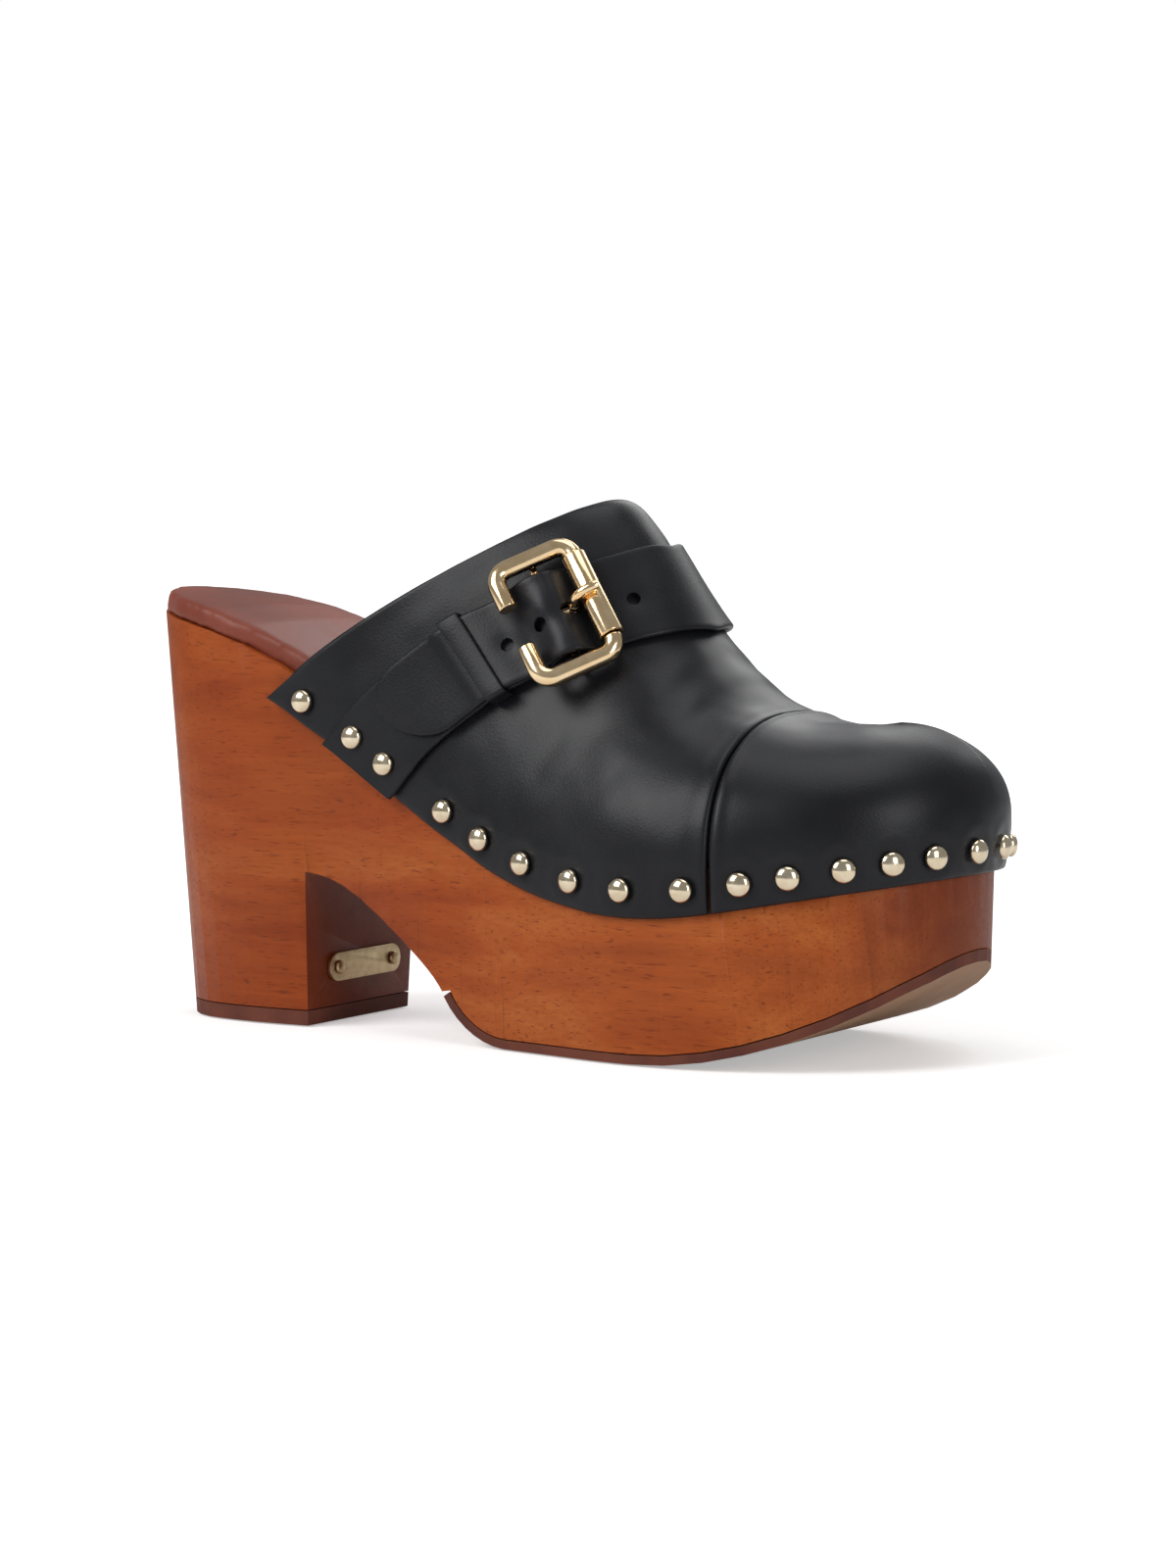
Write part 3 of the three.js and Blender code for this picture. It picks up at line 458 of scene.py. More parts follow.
def wall(u, out=0.0):
    """Points of the wood's wall in plan, moved out, and their outward directions."""
    x, y = (np.interp(u, shares, outline[:, k]) for k in (0, 1))
    tx, ty = (np.interp(u, shares, tangents[:, k]) for k in (0, 1))
    size = np.hypot(tx, ty)
    nx, ny = ty / size, -tx / size
    flip = np.where(nx * (x - 120) + ny * y < 0, -1.0, 1.0)
    nx, ny = nx * flip, ny * flip
    point = np.stack([x + nx * out, y + ny * out, np.zeros_like(x)], -1)
    return point, np.stack([nx, ny, np.zeros_like(x)], -1)

def edge_share(side, v, start_x):
    return lerp(share_at(side, start_x), TIP_U, v)

def spread_out(*values):
    """Arrays of one shape from numbers and arrays."""
    return np.broadcast_arrays(*(np.asarray(value, float) for value in values))

def outer_point(side, v, q):
    """A point of the leather's outer face: v from throat to toe, q from the lower edge to the ridge."""
    side, v, q = spread_out(side, v, q)
    low = wall(edge_share(side, v, lerp(CORNER_X, CORNER_TOP_X, smooth(v, 0, 0.5))), LEATHER + GAP)[0]
    top, normal = wall(edge_share(side, v, CORNER_TOP_X), LEATHER + GAP)
    top[..., 2] = wood_top(top[..., 0]) + 0.4
    drop = 9.9 + 2.1 * smooth(v, 0, 0.15) - 1.7 * smooth(v, 0.5, 0.8)
    low[..., 2] = wood_top(low[..., 0]) - drop
    angle = np.clip((q - MARGIN) / (1 - MARGIN), 0, 1) * math.pi / 2
    ridge_x = lerp(THROAT_X, SPINE_END_X, v)
    ridge = np.stack([ridge_x, 1.5 * smooth(v, 0.3, 1), ridge_height(ridge_x)], -1)
    power = 2 / lerp(2.1, 2.35, smooth(v, 0, 1))
    across = np.maximum(0, np.cos(angle)) ** power
    up = np.sin(angle) ** power
    share = np.sin(angle) ** 1.1
    rear_x = lerp(top[..., 0], ridge[..., 0], share)
    x = lerp(rear_x, lerp(ridge[..., 0], top[..., 0], across), smooth(v, 0.4, 0.85))
    y, z = lerp(ridge[..., 1], top[..., 1], across), lerp(top[..., 2], ridge[..., 2], up)
    p = np.stack([x, y, z], -1)
    bulge = lerp(0.4, 2.15, smooth(v, 0.1, 0.95)) * np.sin(math.pi * np.clip(q, 0, 1) ** 0.75)
    on_margin = (q <= MARGIN)[..., None]
    p = np.where(on_margin, lerp(low, top, (q / MARGIN)[..., None]), p)
    return p + normal * bulge[..., None]

def side_point(side, v, q, depth):
    side, v, q, depth = spread_out(side, v, q, depth)
    step = 0.01
    vn, qn = np.clip(v, step, 0.97), np.clip(q, step, 0.98)
    along_v = outer_point(side, vn + step, qn) - outer_point(side, vn - step, qn)
    along_q = outer_point(side, vn, qn + step) - outer_point(side, vn, qn - step)
    inward = np.cross(along_v, along_q) * side[..., None]
    inward[..., 2] = np.where(q <= MARGIN, 0, inward[..., 2])
    inward /= np.linalg.norm(inward, axis=-1, keepdims=True)
    return outer_point(side, v, q) + inward * depth[..., None]

def upper_point(side, v, q, depth=0.0):
    """A point under the outer face by a depth; both sides meet along the ridge and down the toe tip."""
    side, v, q, depth = spread_out(side, v, q, depth)
    here = side_point(side, v, q, depth)
    meets = ((q >= 1) | (v >= 1))[..., None]
    return np.where(meets, (here + side_point(-side, v, q, depth)) / 2, here)

def in_row(points):
    """Millimetres from the heel to metres in the row frame."""
    return (np.asarray(points) - HEEL_TO_ORIGIN) / 1000

def loft(name, rings, closed=True, caps=False):
    """A mesh through rings of points, in millimetres from the heel, merged and facing out."""
    count = len(rings[0])
    work = bmesh.new()
    rows = [[work.verts.new(p) for p in in_row(ring)] for ring in rings]
    for near, far in zip(rows, rows[1:]):
        for i in range(count if closed else count - 1):
            j = (i + 1) % count
            work.faces.new((near[i], near[j], far[j], far[i]))
    if caps:
        work.faces.new(rows[0])
        work.faces.new(rows[-1][::-1])
    bmesh.ops.remove_doubles(work, verts=work.verts, dist=2e-6)
    bmesh.ops.dissolve_degenerate(work, edges=work.edges, dist=1e-6)
    bmesh.ops.recalc_face_normals(work, faces=work.faces)
    mesh = bpy.data.meshes.new(name)
    work.to_mesh(mesh)
    work.free()
    piece = bpy.data.objects.new(name, mesh)
    bpy.context.scene.collection.objects.link(piece)
    for polygon in mesh.polygons:
        polygon.use_smooth = True
    return piece

STUD_RADIUS = 0.00305
STUD_RISE = 0.0021
NEAR_END = 0.0045  # the head's points lie this near its crown

def stud_place(node):
    """A stud's seat and direction from its CAD node, whose farthest points are tip and crown."""
    places = np.array([v.co for v in nodes[node].data.vertices])
    gaps = np.linalg.norm(places[:, None] - places[None], axis=-1)
    one, two = np.unravel_index(np.argmax(gaps), gaps.shape)
    near_one = (np.linalg.norm(places - places[one], axis=1) < NEAR_END).sum()
    near_two = (np.linalg.norm(places - places[two], axis=1) < NEAR_END).sum()
    crown, point = (places[one], places[two]) if near_one > near_two else (places[two], places[one])
    axis = (crown - point) / np.linalg.norm(crown - point)
    return crown - axis * STUD_RISE, axis

stud_names = [n for n in sorted(nodes) if n.startswith("stud_")]
stud_seats = {n: stud_place(n) for n in stud_names}
seats_mm = np.array([stud_seats[n][0] for n in stud_names]) * 1000 + HEEL_TO_ORIGIN

def leather_relief(side, v, q):
    """How far the leather stands out of its plain form, in millimetres."""
    place = outer_point(side, v, q)
    gap = np.linalg.norm(place[..., None, :] - seats_mm, axis=-1).min(-1)
    relief = -0.55 * np.exp(-(gap / 3.9) ** 2) + 0.16 * np.exp(-((gap - 6.0) / 1.6) ** 2)
    flat = [Vector(p) for p in place.reshape(-1, 3)]
    broad = np.array([noise.noise(p * 0.055) for p in flat])
    small = np.array([noise.noise(p * 0.14 + Vector((7, 3, 1))) for p in flat])
    soft = (broad + 0.45 * small).reshape(gap.shape)
    on_vamp = 1 - 0.65 * smooth(v, SEAM_V - 0.02, SEAM_V + 0.05)
    relief += 0.34 * soft * smooth(q, 0.12, 0.35) * on_vamp
    creases = np.zeros_like(gap)
    for start, lean, width, deep in ((0.44, 0.10, 0.030, 0.20), (0.52, 0.06, 0.026, 0.16)):
        line = v - start - lean * (0.75 - q)
        creases += deep * (np.exp(-((line + width) / width) ** 2) - np.exp(-(line / width) ** 2))
    relief += creases * smooth(q, 0.45, 0.75)
    relief -= 0.30 * np.exp(-(q / 0.03) ** 2) * (0.5 + 0.5 * np.sin(v * 74))
    seam = v - SEAM_V
    relief += 0.36 * np.exp(-((seam - 0.011) / 0.006) ** 2) - 0.42 * np.exp(-(seam / 0.0030) ** 2)
    relief -= 0.16 * np.exp(-((seam + 0.02) / 0.012) ** 2)
    return relief

SHEET_ROWS = 70

def upper_sheet(name, v_from, v_to, steps, depth, thickness, q_from=0.0, relief=True, round_end=True):
    """A closed sheet of the upper with rounded rims."""
    half = thickness / 2
    arcs = np.radians([0, 30, 60, 90])
    q_round, v_round = half / 52, half / 130
    rim = 1 - np.sin(arcs[:0:-1])
    rim_inset = half * (1 - np.cos(arcs[:0:-1]))
    q_inner = q_from + q_round + (1 - q_from - q_round) * np.linspace(0, 1, SHEET_ROWS)
    q_line = np.concatenate([q_from + q_round * rim, q_inner])
    q_inset = np.concatenate([rim_inset, np.zeros(SHEET_ROWS)])
    v_inner = np.linspace(v_from + v_round, v_to - (v_round if round_end else 0), steps)
    v_line = np.concatenate([v_from + v_round * rim, v_inner])
    v_inset = np.concatenate([rim_inset, np.zeros(steps)])
    if round_end:
        v_line = np.concatenate([v_line, v_to - v_round * (1 - np.sin(arcs[1:]))])
        v_inset = np.concatenate([v_inset, half * (1 - np.cos(arcs[1:]))])
    v, q = np.meshgrid(v_line, q_line, indexing="ij")
    inset = np.maximum(v_inset[:, None], q_inset[None])
    faces = {}
    for side in (-1, 1):
        out = leather_relief(side, v, q) if relief else 0.0
        top = depth(v) if callable(depth) else depth
        faces[side, "outer"] = upper_point(side, v, q, top + inset - out)
        faces[side, "inner"] = upper_point(side, v, q, top + thickness - inset)
    rings = []
    for i in range(len(v_line)):
        outside = [faces[-1, "outer"][i], faces[1, "outer"][i][::-1][1:]]
        inside = [faces[1, "inner"][i], faces[-1, "inner"][i][::-1][1:]]
        rings.append(np.concatenate(outside + inside))
    return loft(name, rings)

BLACK_DEEP = (0.0062, 0.0064, 0.0078)
BLACK_PALE = (0.0105, 0.0108, 0.0135)
GRAIN_SCALE = 1500.0

black, new, link, shader = material("upper_leather", BLACK_DEEP, 0.38, specular=0.24)
fine = mottled(new, GRAIN_SCALE, rough=0.5)
patches = mottled(new, 45.0, rough=0.5)
cells = new("ShaderNodeTexVoronoi")
cells.inputs["Scale"].default_value = GRAIN_SCALE
link(new("ShaderNodeTexCoord").outputs["Object"], cells.inputs["Vector"])
grain = new("ShaderNodeMath")
grain.operation = "ADD"
link(fine, grain.inputs[0])
link(cells.outputs["Distance"], grain.inputs[1])
coloured(new, link, shader, patches, BLACK_DEEP, BLACK_PALE)
link(spread(new, link, patches, 0.3, 0.7, 0.33, 0.42), shader.inputs["Roughness"])
bumped(new, link, shader, grain.outputs["Value"], 0.16, 0.00011)

vamp = upper_sheet("vamp_leather", 0.0, SEAM_V - 0.001, 150, 0.0, LEATHER)
cap = upper_sheet("cap_leather", SEAM_V + 0.001, 1.0, 90, 0.0, LEATHER, round_end=False)
for piece, node in ((vamp, "vamp"), (cap, "toe_cap")):
    piece.data.materials.append(black)
    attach(piece, "shoe")
    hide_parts(node)


# ---------------------------------------------------------------------------------------------
# Lining and toe puff: dark thin leather inside the upper, and a stiff sheet moulded between it
# and the cap. The lining ends just inside the throat's edge.
# ---------------------------------------------------------------------------------------------
LINING = 1.0
PUFF = 1.0
PUFF_START = 0.72

dark, new, link, shader = material("lining_leather", (0.020, 0.018, 0.017), 0.6)
nap = mottled(new, 1100.0, detail=4.0, rough=0.65)
coloured(new, link, shader, nap, (0.014, 0.012, 0.011), (0.030, 0.026, 0.024))
bumped(new, link, shader, nap, 0.25, 0.00015)

def lining_depth(v):
    return LEATHER + 0.5 + (PUFF + 0.45) * smooth(v, PUFF_START - 0.08, PUFF_START - 0.01)

lining = upper_sheet("lining_sheet", 0.004, 1.0, 110, lining_depth, LINING,
                     q_from=MARGIN + 0.03, relief=False, round_end=False)
lining.data.materials.append(dark)
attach(lining, "shoe")
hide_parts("lining")

board, new, link, shader = material("stiffener", (0.45, 0.39, 0.29), 0.85)
flecks = mottled(new, 500.0, detail=4.0, rough=0.7)
coloured(new, link, shader, flecks, (0.36, 0.30, 0.21), (0.52, 0.46, 0.36))
bumped(new, link, shader, flecks, 0.3, 0.0002)
nodes["toe_puff"].data.materials.clear()
nodes["toe_puff"].data.materials.append(board)


# ---------------------------------------------------------------------------------------------
# Straps: two bands of the same black leather with painted, rounded edges. The short one wraps the
# buckle's centre bar; the long one has holes, runs under the roller and tucks through the keeper.
# ---------------------------------------------------------------------------------------------
STRAP_WIDTH = 25.4
STRAP_THICK = 1.5
SKIVED = 0.9
BAR_HEIGHT = 3.4
STRAP_REAR = [(-0.2, 0.078), (0, 0.083), (0.2, 0.086), (0.42, 0.095), (0.52, 0.115), (0.73, 0.156),
              (0.83, 0.173), (1, 0.188)]
STRAP_FRONT = [(-0.2, 0.158), (0, 0.184), (0.2, 0.2), (0.34, 0.224), (0.47, 0.255), (0.69, 0.307),
               (0.81, 0.333), (1, 0.36)]
rear_line = height_line(STRAP_REAR)
front_line = height_line(STRAP_FRONT)

def raw_track(t, across, height):
    q = np.where(t <= 1, t, 2 - t)
    side = np.where(t <= 1, -1.0, 1.0)
    return upper_point(side, lerp(rear_line(q), front_line(q), across), q, -np.asarray(height, float))

track_t = np.arange(-0.1, 2.1001, 0.005)
track_middle = raw_track(track_t, 0.5, 2.0)
track_s = np.concatenate([[0], np.cumsum(np.linalg.norm(np.diff(track_middle, axis=0), axis=1))])
track_width = np.linalg.norm(raw_track(track_t, 0.0, 2.0) - raw_track(track_t, 1.0, 2.0), axis=1)
BAR_S = float(track_s[np.argmax(track_t >= 0.588 - 1e-9)])

def strap_point(s, across, height):
    """A point over the vamp: s along the strap, across from rear (0) to front (1), and height."""
    s, across, height = spread_out(s, across, height)
    squaring = 5.2 * smooth(s, 25, 45) * (1 - smooth(s, 85, 112))
    s = s - squaring * (across - 0.5)
    t = np.interp(s, track_s, track_t)
    narrowing = STRAP_WIDTH / np.interp(s, track_s, track_width)
    return raw_track(t, 0.5 + (across - 0.5) * narrowing, height)

def band(name, path, half=lambda s: np.full_like(s, 0.5), wear=None, columns=26):
    """A strap with rounded edges along rows of s, height of its middle and thickness."""
    path = np.array(path, float)
    along = np.gradient(path[:, :2], axis=0)
    along /= np.linalg.norm(along, axis=1, keepdims=True)
    halves = half(path[:, 0])
    arcs = np.radians([90, 60, 30, 0, -30, -60, -90])
    rings = []
    for (s, height, thickness), (ds, dh), h in zip(path, along, halves):
        r = thickness / 2
        flat = max(0.2, h * STRAP_WIDTH - r)
        top = np.linspace(-flat, flat, columns)
        out, up = r * np.cos(arcs[1:-1]), r * np.sin(arcs[1:-1])
        y = np.concatenate([top, flat + out, top[::-1], -flat - out])
        z = np.concatenate([np.full(columns, r), up, np.full(columns, -r), -up])
        lift = wear(s, y) if wear is not None else 0.0
        rings.append(strap_point(s - dh * z, 0.5 + y / STRAP_WIDTH, height + ds * z + lift))
    return loft(name, rings, caps=True)

REST = 0.45 + STRAP_THICK / 2
KEEPER_FROM, KEEPER_TO, KEEPER_WALL, KEEPER_UNDER = BAR_S - 26.2, BAR_S - 20.4, 1.0, 0.8
ON_KEEPER = 0.3 + KEEPER_UNDER + 0.3 + STRAP_THICK / 2
OVER_STRAP = STRAP_THICK + 0.28
WRAP_RADIUS = 1 + 0.55 + SKIVED / 2
wrap_angles = np.radians(np.linspace(115, -90, 31))
WRAP_CENTRE = BAR_HEIGHT - 0.2
UNDER_FOLD = 0.85
wrap = [(BAR_S + WRAP_RADIUS * math.cos(a), WRAP_CENTRE + WRAP_RADIUS * math.sin(a), SKIVED)
        for a in wrap_angles]

def full(s, height):
    return s, height, STRAP_THICK

lower_knots = [full(5.2, REST), full(16, REST), full(30, REST), full(KEEPER_FROM - 5, REST + 0.3),
               full(KEEPER_FROM - 1, ON_KEEPER), full(KEEPER_TO + 1, ON_KEEPER), full(BAR_S - 12, 1.25),
               (BAR_S - 6, 2.4, 1.2)]
fold = [(BAR_S - 3.5, UNDER_FOLD, SKIVED), (BAR_S - 6.5, UNDER_FOLD, SKIVED)]
lower_path = [tuple(p) for p in smooth_line(lower_knots, 90)] + wrap + fold

def lower_half(s):
    return lerp(0.5, 0.46, smooth(s, BAR_S - 18, BAR_S - 8))

strap_lower = band("strap_lower_leather", lower_path, half=lower_half)

BILLET_TIP = BAR_S - 52.5
TIP_LENGTH = 12.5
OVER_BAR = [(-12, 3.1, 1.5), (-7, 4.4, 1.5), (-2, 6.7, 1.5), (1, 6.75, 1.5), (2.6, 6, 1.4), (4.6, 4.1, 1.3),
            (6.8, 2.2, 1.3), (9.5, 1.2, 1.3), (13, 1.1, 1.3), (19, 1.3, 1.5), (28, 1.6, 1.5), (40, 1.85, 1.5)]
billet_knots = [(BILLET_TIP, REST + OVER_STRAP, 1.3), full(BAR_S - 38, REST + OVER_STRAP),
                full(KEEPER_FROM - 5, REST + OVER_STRAP + 0.3), full(KEEPER_FROM - 1, ON_KEEPER + OVER_STRAP),
                full(KEEPER_TO + 1, ON_KEEPER + OVER_STRAP)]
billet_knots += [(BAR_S + s, height, thick) for s, height, thick in OVER_BAR]
billet_knots += [full(150, 1.95), full(180, REST + 0.4), full(205, REST), full(224, REST)]
billet_line = smooth_line(billet_knots, 320)
tip_s = BILLET_TIP + TIP_LENGTH * (1 - np.cos(np.linspace(0.02, math.pi / 2, 16)))
heights = [np.interp(tip_s, billet_line[:, 0], billet_line[:, k]) for k in (1, 2)]
past_tip = billet_line[billet_line[:, 0] > tip_s[-1] + 0.3]
billet_path = np.concatenate([np.stack([tip_s, *heights], 1), past_tip])

def billet_half(s):
    d = np.clip((s - BILLET_TIP) / TIP_LENGTH, 0, 1)
    return 0.5 * np.sqrt(np.maximum(0.004, 1 - (1 - d) ** 2.2))

HOLE_RADIUS, HOLE_SPACING, HOLE_ACROSS = 1.8, 10.2, 0.54
hole_s = [BAR_S + 6.4 + k * HOLE_SPACING for k in (-2, -1, 1.33)]

def billet_wear(s, y):
    """The strap dips round its holes and ripples over the bar that it hides."""
    lift = np.zeros_like(y)
    for place in hole_s:
        gap = np.hypot(s - place, y - (HOLE_ACROSS - 0.5) * STRAP_WIDTH)
        lift -= 0.30 * np.exp(-(gap / 2.9) ** 2)
    near_bar = math.exp(-((s - BAR_S + 2) / 7) ** 2)
    lift += near_bar * (0.22 * np.sin(0.50 * y + 0.30 * s) + 0.14 * np.sin(0.23 * y - 0.5 * s + 1.3))
    lift += 0.10 * np.sin(0.21 * y + 0.13 * s)
    return lift

billet = band("strap_billet_leather", billet_path, billet_half, billet_wear)

def punch(piece, place, direction, radius, depth, stretch=1.0, along=None):
    """Cuts a round hole through the piece at a place in metres, along a direction."""
    z = Vector(direction).normalized()
    x = (Vector(along) - z * Vector(along).dot(z)).normalized()
    bpy.ops.object.select_all(action="DESELECT")
    bpy.ops.mesh.primitive_cylinder_add(vertices=28, radius=radius, depth=depth)
    tool = bpy.context.object
    turn = Matrix((x, z.cross(x), z)).transposed().to_4x4()
    tool.data.transform(Matrix.Translation(Vector(place)) @ turn @ Matrix.Diagonal((stretch, 1, 1, 1)))
    cut = piece.modifiers.new("cut", "BOOLEAN")
    cut.object = tool
    cut.solver = "EXACT"
    apply_modifiers(piece)
    bpy.data.objects.remove(tool)

for place in hole_s:
    middle = in_row(strap_point(place, HOLE_ACROSS, 3.0))
    outward = in_row(strap_point(place, HOLE_ACROSS, 6.0)) - middle
    onward = in_row(strap_point(place + 2, HOLE_ACROSS, 3.0)) - middle
    punch(billet, middle, outward, HOLE_RADIUS / 1000, 0.011, along=onward)

# The buckle's own axes, from its joints: across it along the bar, along it from the bar to the roller.
joints = {j["name"]: j for j in frame["joints"]}
bar_place = Vector(joints["buckle_rock"]["pos_m"])
roller_place = Vector(joints["roller_spin"]["pos_m"])
buckle_across = Vector(joints["buckle_rock"]["axis"]).normalized()
ROLLER_X, FRAME_RISE = 10.5, 3.5
to_roller = (roller_place - bar_place).normalized()
sideways = buckle_across.cross(to_roller)
tilt = math.atan2(FRAME_RISE, ROLLER_X)
buckle_along = to_roller * math.cos(tilt) + sideways * math.sin(tilt)
buckle_out = buckle_along.cross(buckle_across)
if buckle_out.dot(to_roller) < 0:
    buckle_along = to_roller * math.cos(tilt) - sideways * math.sin(tilt)
    buckle_out = buckle_along.cross(buckle_across)
on_buckle = Matrix((buckle_along, buckle_across, buckle_out)).transposed().to_4x4()
on_buckle.translation = bar_place

PRONG_HOLE = Vector((0.0048, 0, 0.002))  # drawn long by the prong
punch(billet, on_buckle @ PRONG_HOLE, buckle_out, HOLE_RADIUS / 1000, 0.016, stretch=1.8, along=buckle_along)
for piece, node in ((strap_lower, "strap_lower"), (billet, "strap_billet")):
    piece.data.materials.append(black)
    smooth_by_angle(piece, 50)
    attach(piece, "shoe")
    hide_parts(node)


# ---------------------------------------------------------------------------------------------
# Keeper: a narrow closed loop of the same leather, its ends joined underneath, which holds the
# strap's free end down. It slides along both straps.
# ---------------------------------------------------------------------------------------------
def keeper_ring(s, side, low, high, corner):
    """A rounded rectangle round the straps, in millimetres across and over the leather."""
    points = []
    for cy, ch, start in ((side - corner, low + corner, -90), (side - corner, high - corner, 0),
                          (corner - side, high - corner, 90), (corner - side, low + corner, 180)):
        for a in np.radians(np.linspace(start, start + 90, 7)):
            points.append((cy + corner * math.cos(a), ch + corner * math.sin(a)))
        last = points[-1]
        following = {-90: (side, high - corner), 0: (corner - side, high),
                     90: (-side, low + corner), 180: (side - corner, low)}[start]
        for share in np.linspace(0, 1, 10)[1:-1]:
            points.append((lerp(last[0], following[0], share), lerp(last[1], following[1], share)))
    y, h = np.array(points).T
    return strap_point(s, 0.5 + y / STRAP_WIDTH, h)

keeper_low, keeper_top = 0.3, ON_KEEPER + OVER_STRAP + 1.15 + KEEPER_WALL
half_width = STRAP_WIDTH / 2 + 0.4 + KEEPER_WALL
KEEPER_ROUND = 0.45
rings = []
arcs = np.radians([0, 30, 60, 90])
for s_end, way in ((KEEPER_FROM, -1), (KEEPER_TO, 1)):
    edge = [(s_end - way * KEEPER_ROUND * (1 - math.sin(a)), KEEPER_ROUND * (1 - math.cos(a))) for a in arcs]
    rows = [(s, inset) for s, inset in (edge[::-1] if way < 0 else edge)]
    for s, inset in rows:
        rings.append(keeper_ring(s, half_width - inset, keeper_low + inset, keeper_top - inset, 1.3))
for s in np.linspace(KEEPER_TO - 0.35, KEEPER_FROM + 0.35, 5):
    inner_low, inner_top = keeper_low + KEEPER_UNDER, keeper_top - KEEPER_WALL
    rings.append(keeper_ring(s, half_width - KEEPER_WALL, inner_low, inner_top, 0.45))
rings.append(rings[0])
keeper = loft("keeper_leather", rings)
keeper.data.materials.append(black)
smooth_by_angle(keeper, 50)
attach(keeper, "keeper")
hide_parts("keeper_loop")


# ---------------------------------------------------------------------------------------------
# Buckle: a rod bent into an open-sided frame with flat-sawn ends, a tube that rolls on its front
# bar, and a prong. All are cast or bent metal, polished and plated pale gold.
# ---------------------------------------------------------------------------------------------
gold, new, link, shader = material("gold_plate", (0.90, 0.66, 0.38), 0.16, metallic=1.0)
cloud = mottled(new, 160.0)
scuffs = noise_at(new, link, stretched(new, link, (300.0, 2400.0, 700.0)), 1.0, 2.0, 0.5)
coloured(new, link, shader, cloud, (0.86, 0.61, 0.33), (0.96, 0.74, 0.46))
link(spread(new, link, cloud, 0.3, 0.7, 0.10, 0.19), shader.inputs["Roughness"])
bumped(new, link, shader, scuffs, 0.03, 0.00005)

def rod(name, points, radii, sides=28):
    """A round rod along points on the buckle, in millimetres, with flat ends for bevelled to ease."""
    points = [Vector(p) for p in points]
    rings = []
    side = Vector((0, 0, 1))
    for i, p in enumerate(points):
        along = (points[min(len(points) - 1, i + 1)] - points[max(0, i - 1)]).normalized()
        x = (side - along * side.dot(along))
        x = x.normalized() if x.length > 0.2 else (Vector((0, 1, 0)) - along * along.y).normalized()
        y = along.cross(x)
        turns = [2 * math.pi * k / sides for k in range(sides)]
        rings.append([p + (x * math.cos(a) + y * math.sin(a)) * radii[i] for a in turns])
    work = bmesh.new()
    rows = [[work.verts.new(on_buckle @ (v / 1000)) for v in ring] for ring in rings]
    for near, far in zip(rows, rows[1:]):
        for i in range(sides):
            j = (i + 1) % sides
            work.faces.new((near[i], near[j], far[j], far[i]))
    work.faces.new(rows[0])
    work.faces.new(rows[-1][::-1])
    bmesh.ops.recalc_face_normals(work, faces=work.faces)
    mesh = bpy.data.meshes.new(name)
    work.to_mesh(mesh)
    work.free()
    piece = bpy.data.objects.new(name, mesh)
    bpy.context.scene.collection.objects.link(piece)
    return piece

def bevelled(piece, width, angle=40, segments=3):
    """Eases a piece's sharp edges and shades it."""
    edge = piece.modifiers.new("eased", "BEVEL")
    edge.limit_method = "ANGLE"
    edge.angle_limit = math.radians(angle)
    edge.width = width
    edge.segments = segments
    apply_modifiers(piece)
    smooth_by_angle(piece, 35)

HALF_LENGTH, HALF_WIDTH, ROD_RADIUS, CORNER, OPENING, FORWARD = 10.3, 16.35, 2.4, 3.9, 5.85, 0.2
ROLLER_HALF = 12.1
CORE_RADIUS = 1.7
rod_path, rod_radii = [(FORWARD - HALF_LENGTH, OPENING + 0.02, FRAME_RISE)], [ROD_RADIUS]

def bend(cx, cy, start):
    for a in np.radians(np.linspace(start, start - 90, 13)):
        rod_path.append((FORWARD + cx + CORNER * math.cos(a), cy + CORNER * math.sin(a), FRAME_RISE))
        rod_radii.append(ROD_RADIUS)

bend(CORNER - HALF_LENGTH, HALF_WIDTH - CORNER, 180)
bend(HALF_LENGTH - CORNER, HALF_WIDTH - CORNER, 90)
for y in (ROLLER_HALF + 0.3, -ROLLER_HALF - 0.3):
    rod_path.append((FORWARD + HALF_LENGTH, y, FRAME_RISE))
    rod_radii.append(CORE_RADIUS)
bend(HALF_LENGTH - CORNER, CORNER - HALF_WIDTH, 0)
bend(CORNER - HALF_LENGTH, CORNER - HALF_WIDTH, -90)
rod_path.append((FORWARD - HALF_LENGTH, -OPENING - 0.02, FRAME_RISE))
rod_radii.append(ROD_RADIUS)
buckle = rod("buckle_rod", rod_path, rod_radii)
bevelled(buckle, 0.00035)
BAR_END = HALF_WIDTH - 1.2
bar_half = [(HALF_WIDTH, FRAME_RISE), (BAR_END, 1.6), (BAR_END - 1, 0.3), (BAR_END - 2.4, 0)]
bar_line = [(0, y, z) for y, z in bar_half] + [(0, -y, z) for y, z in bar_half[::-1]]
bar = rod("buckle_bar", bar_line, [1.0] * len(bar_line), 16)
bevelled(bar, 0.0002, 60, 2)

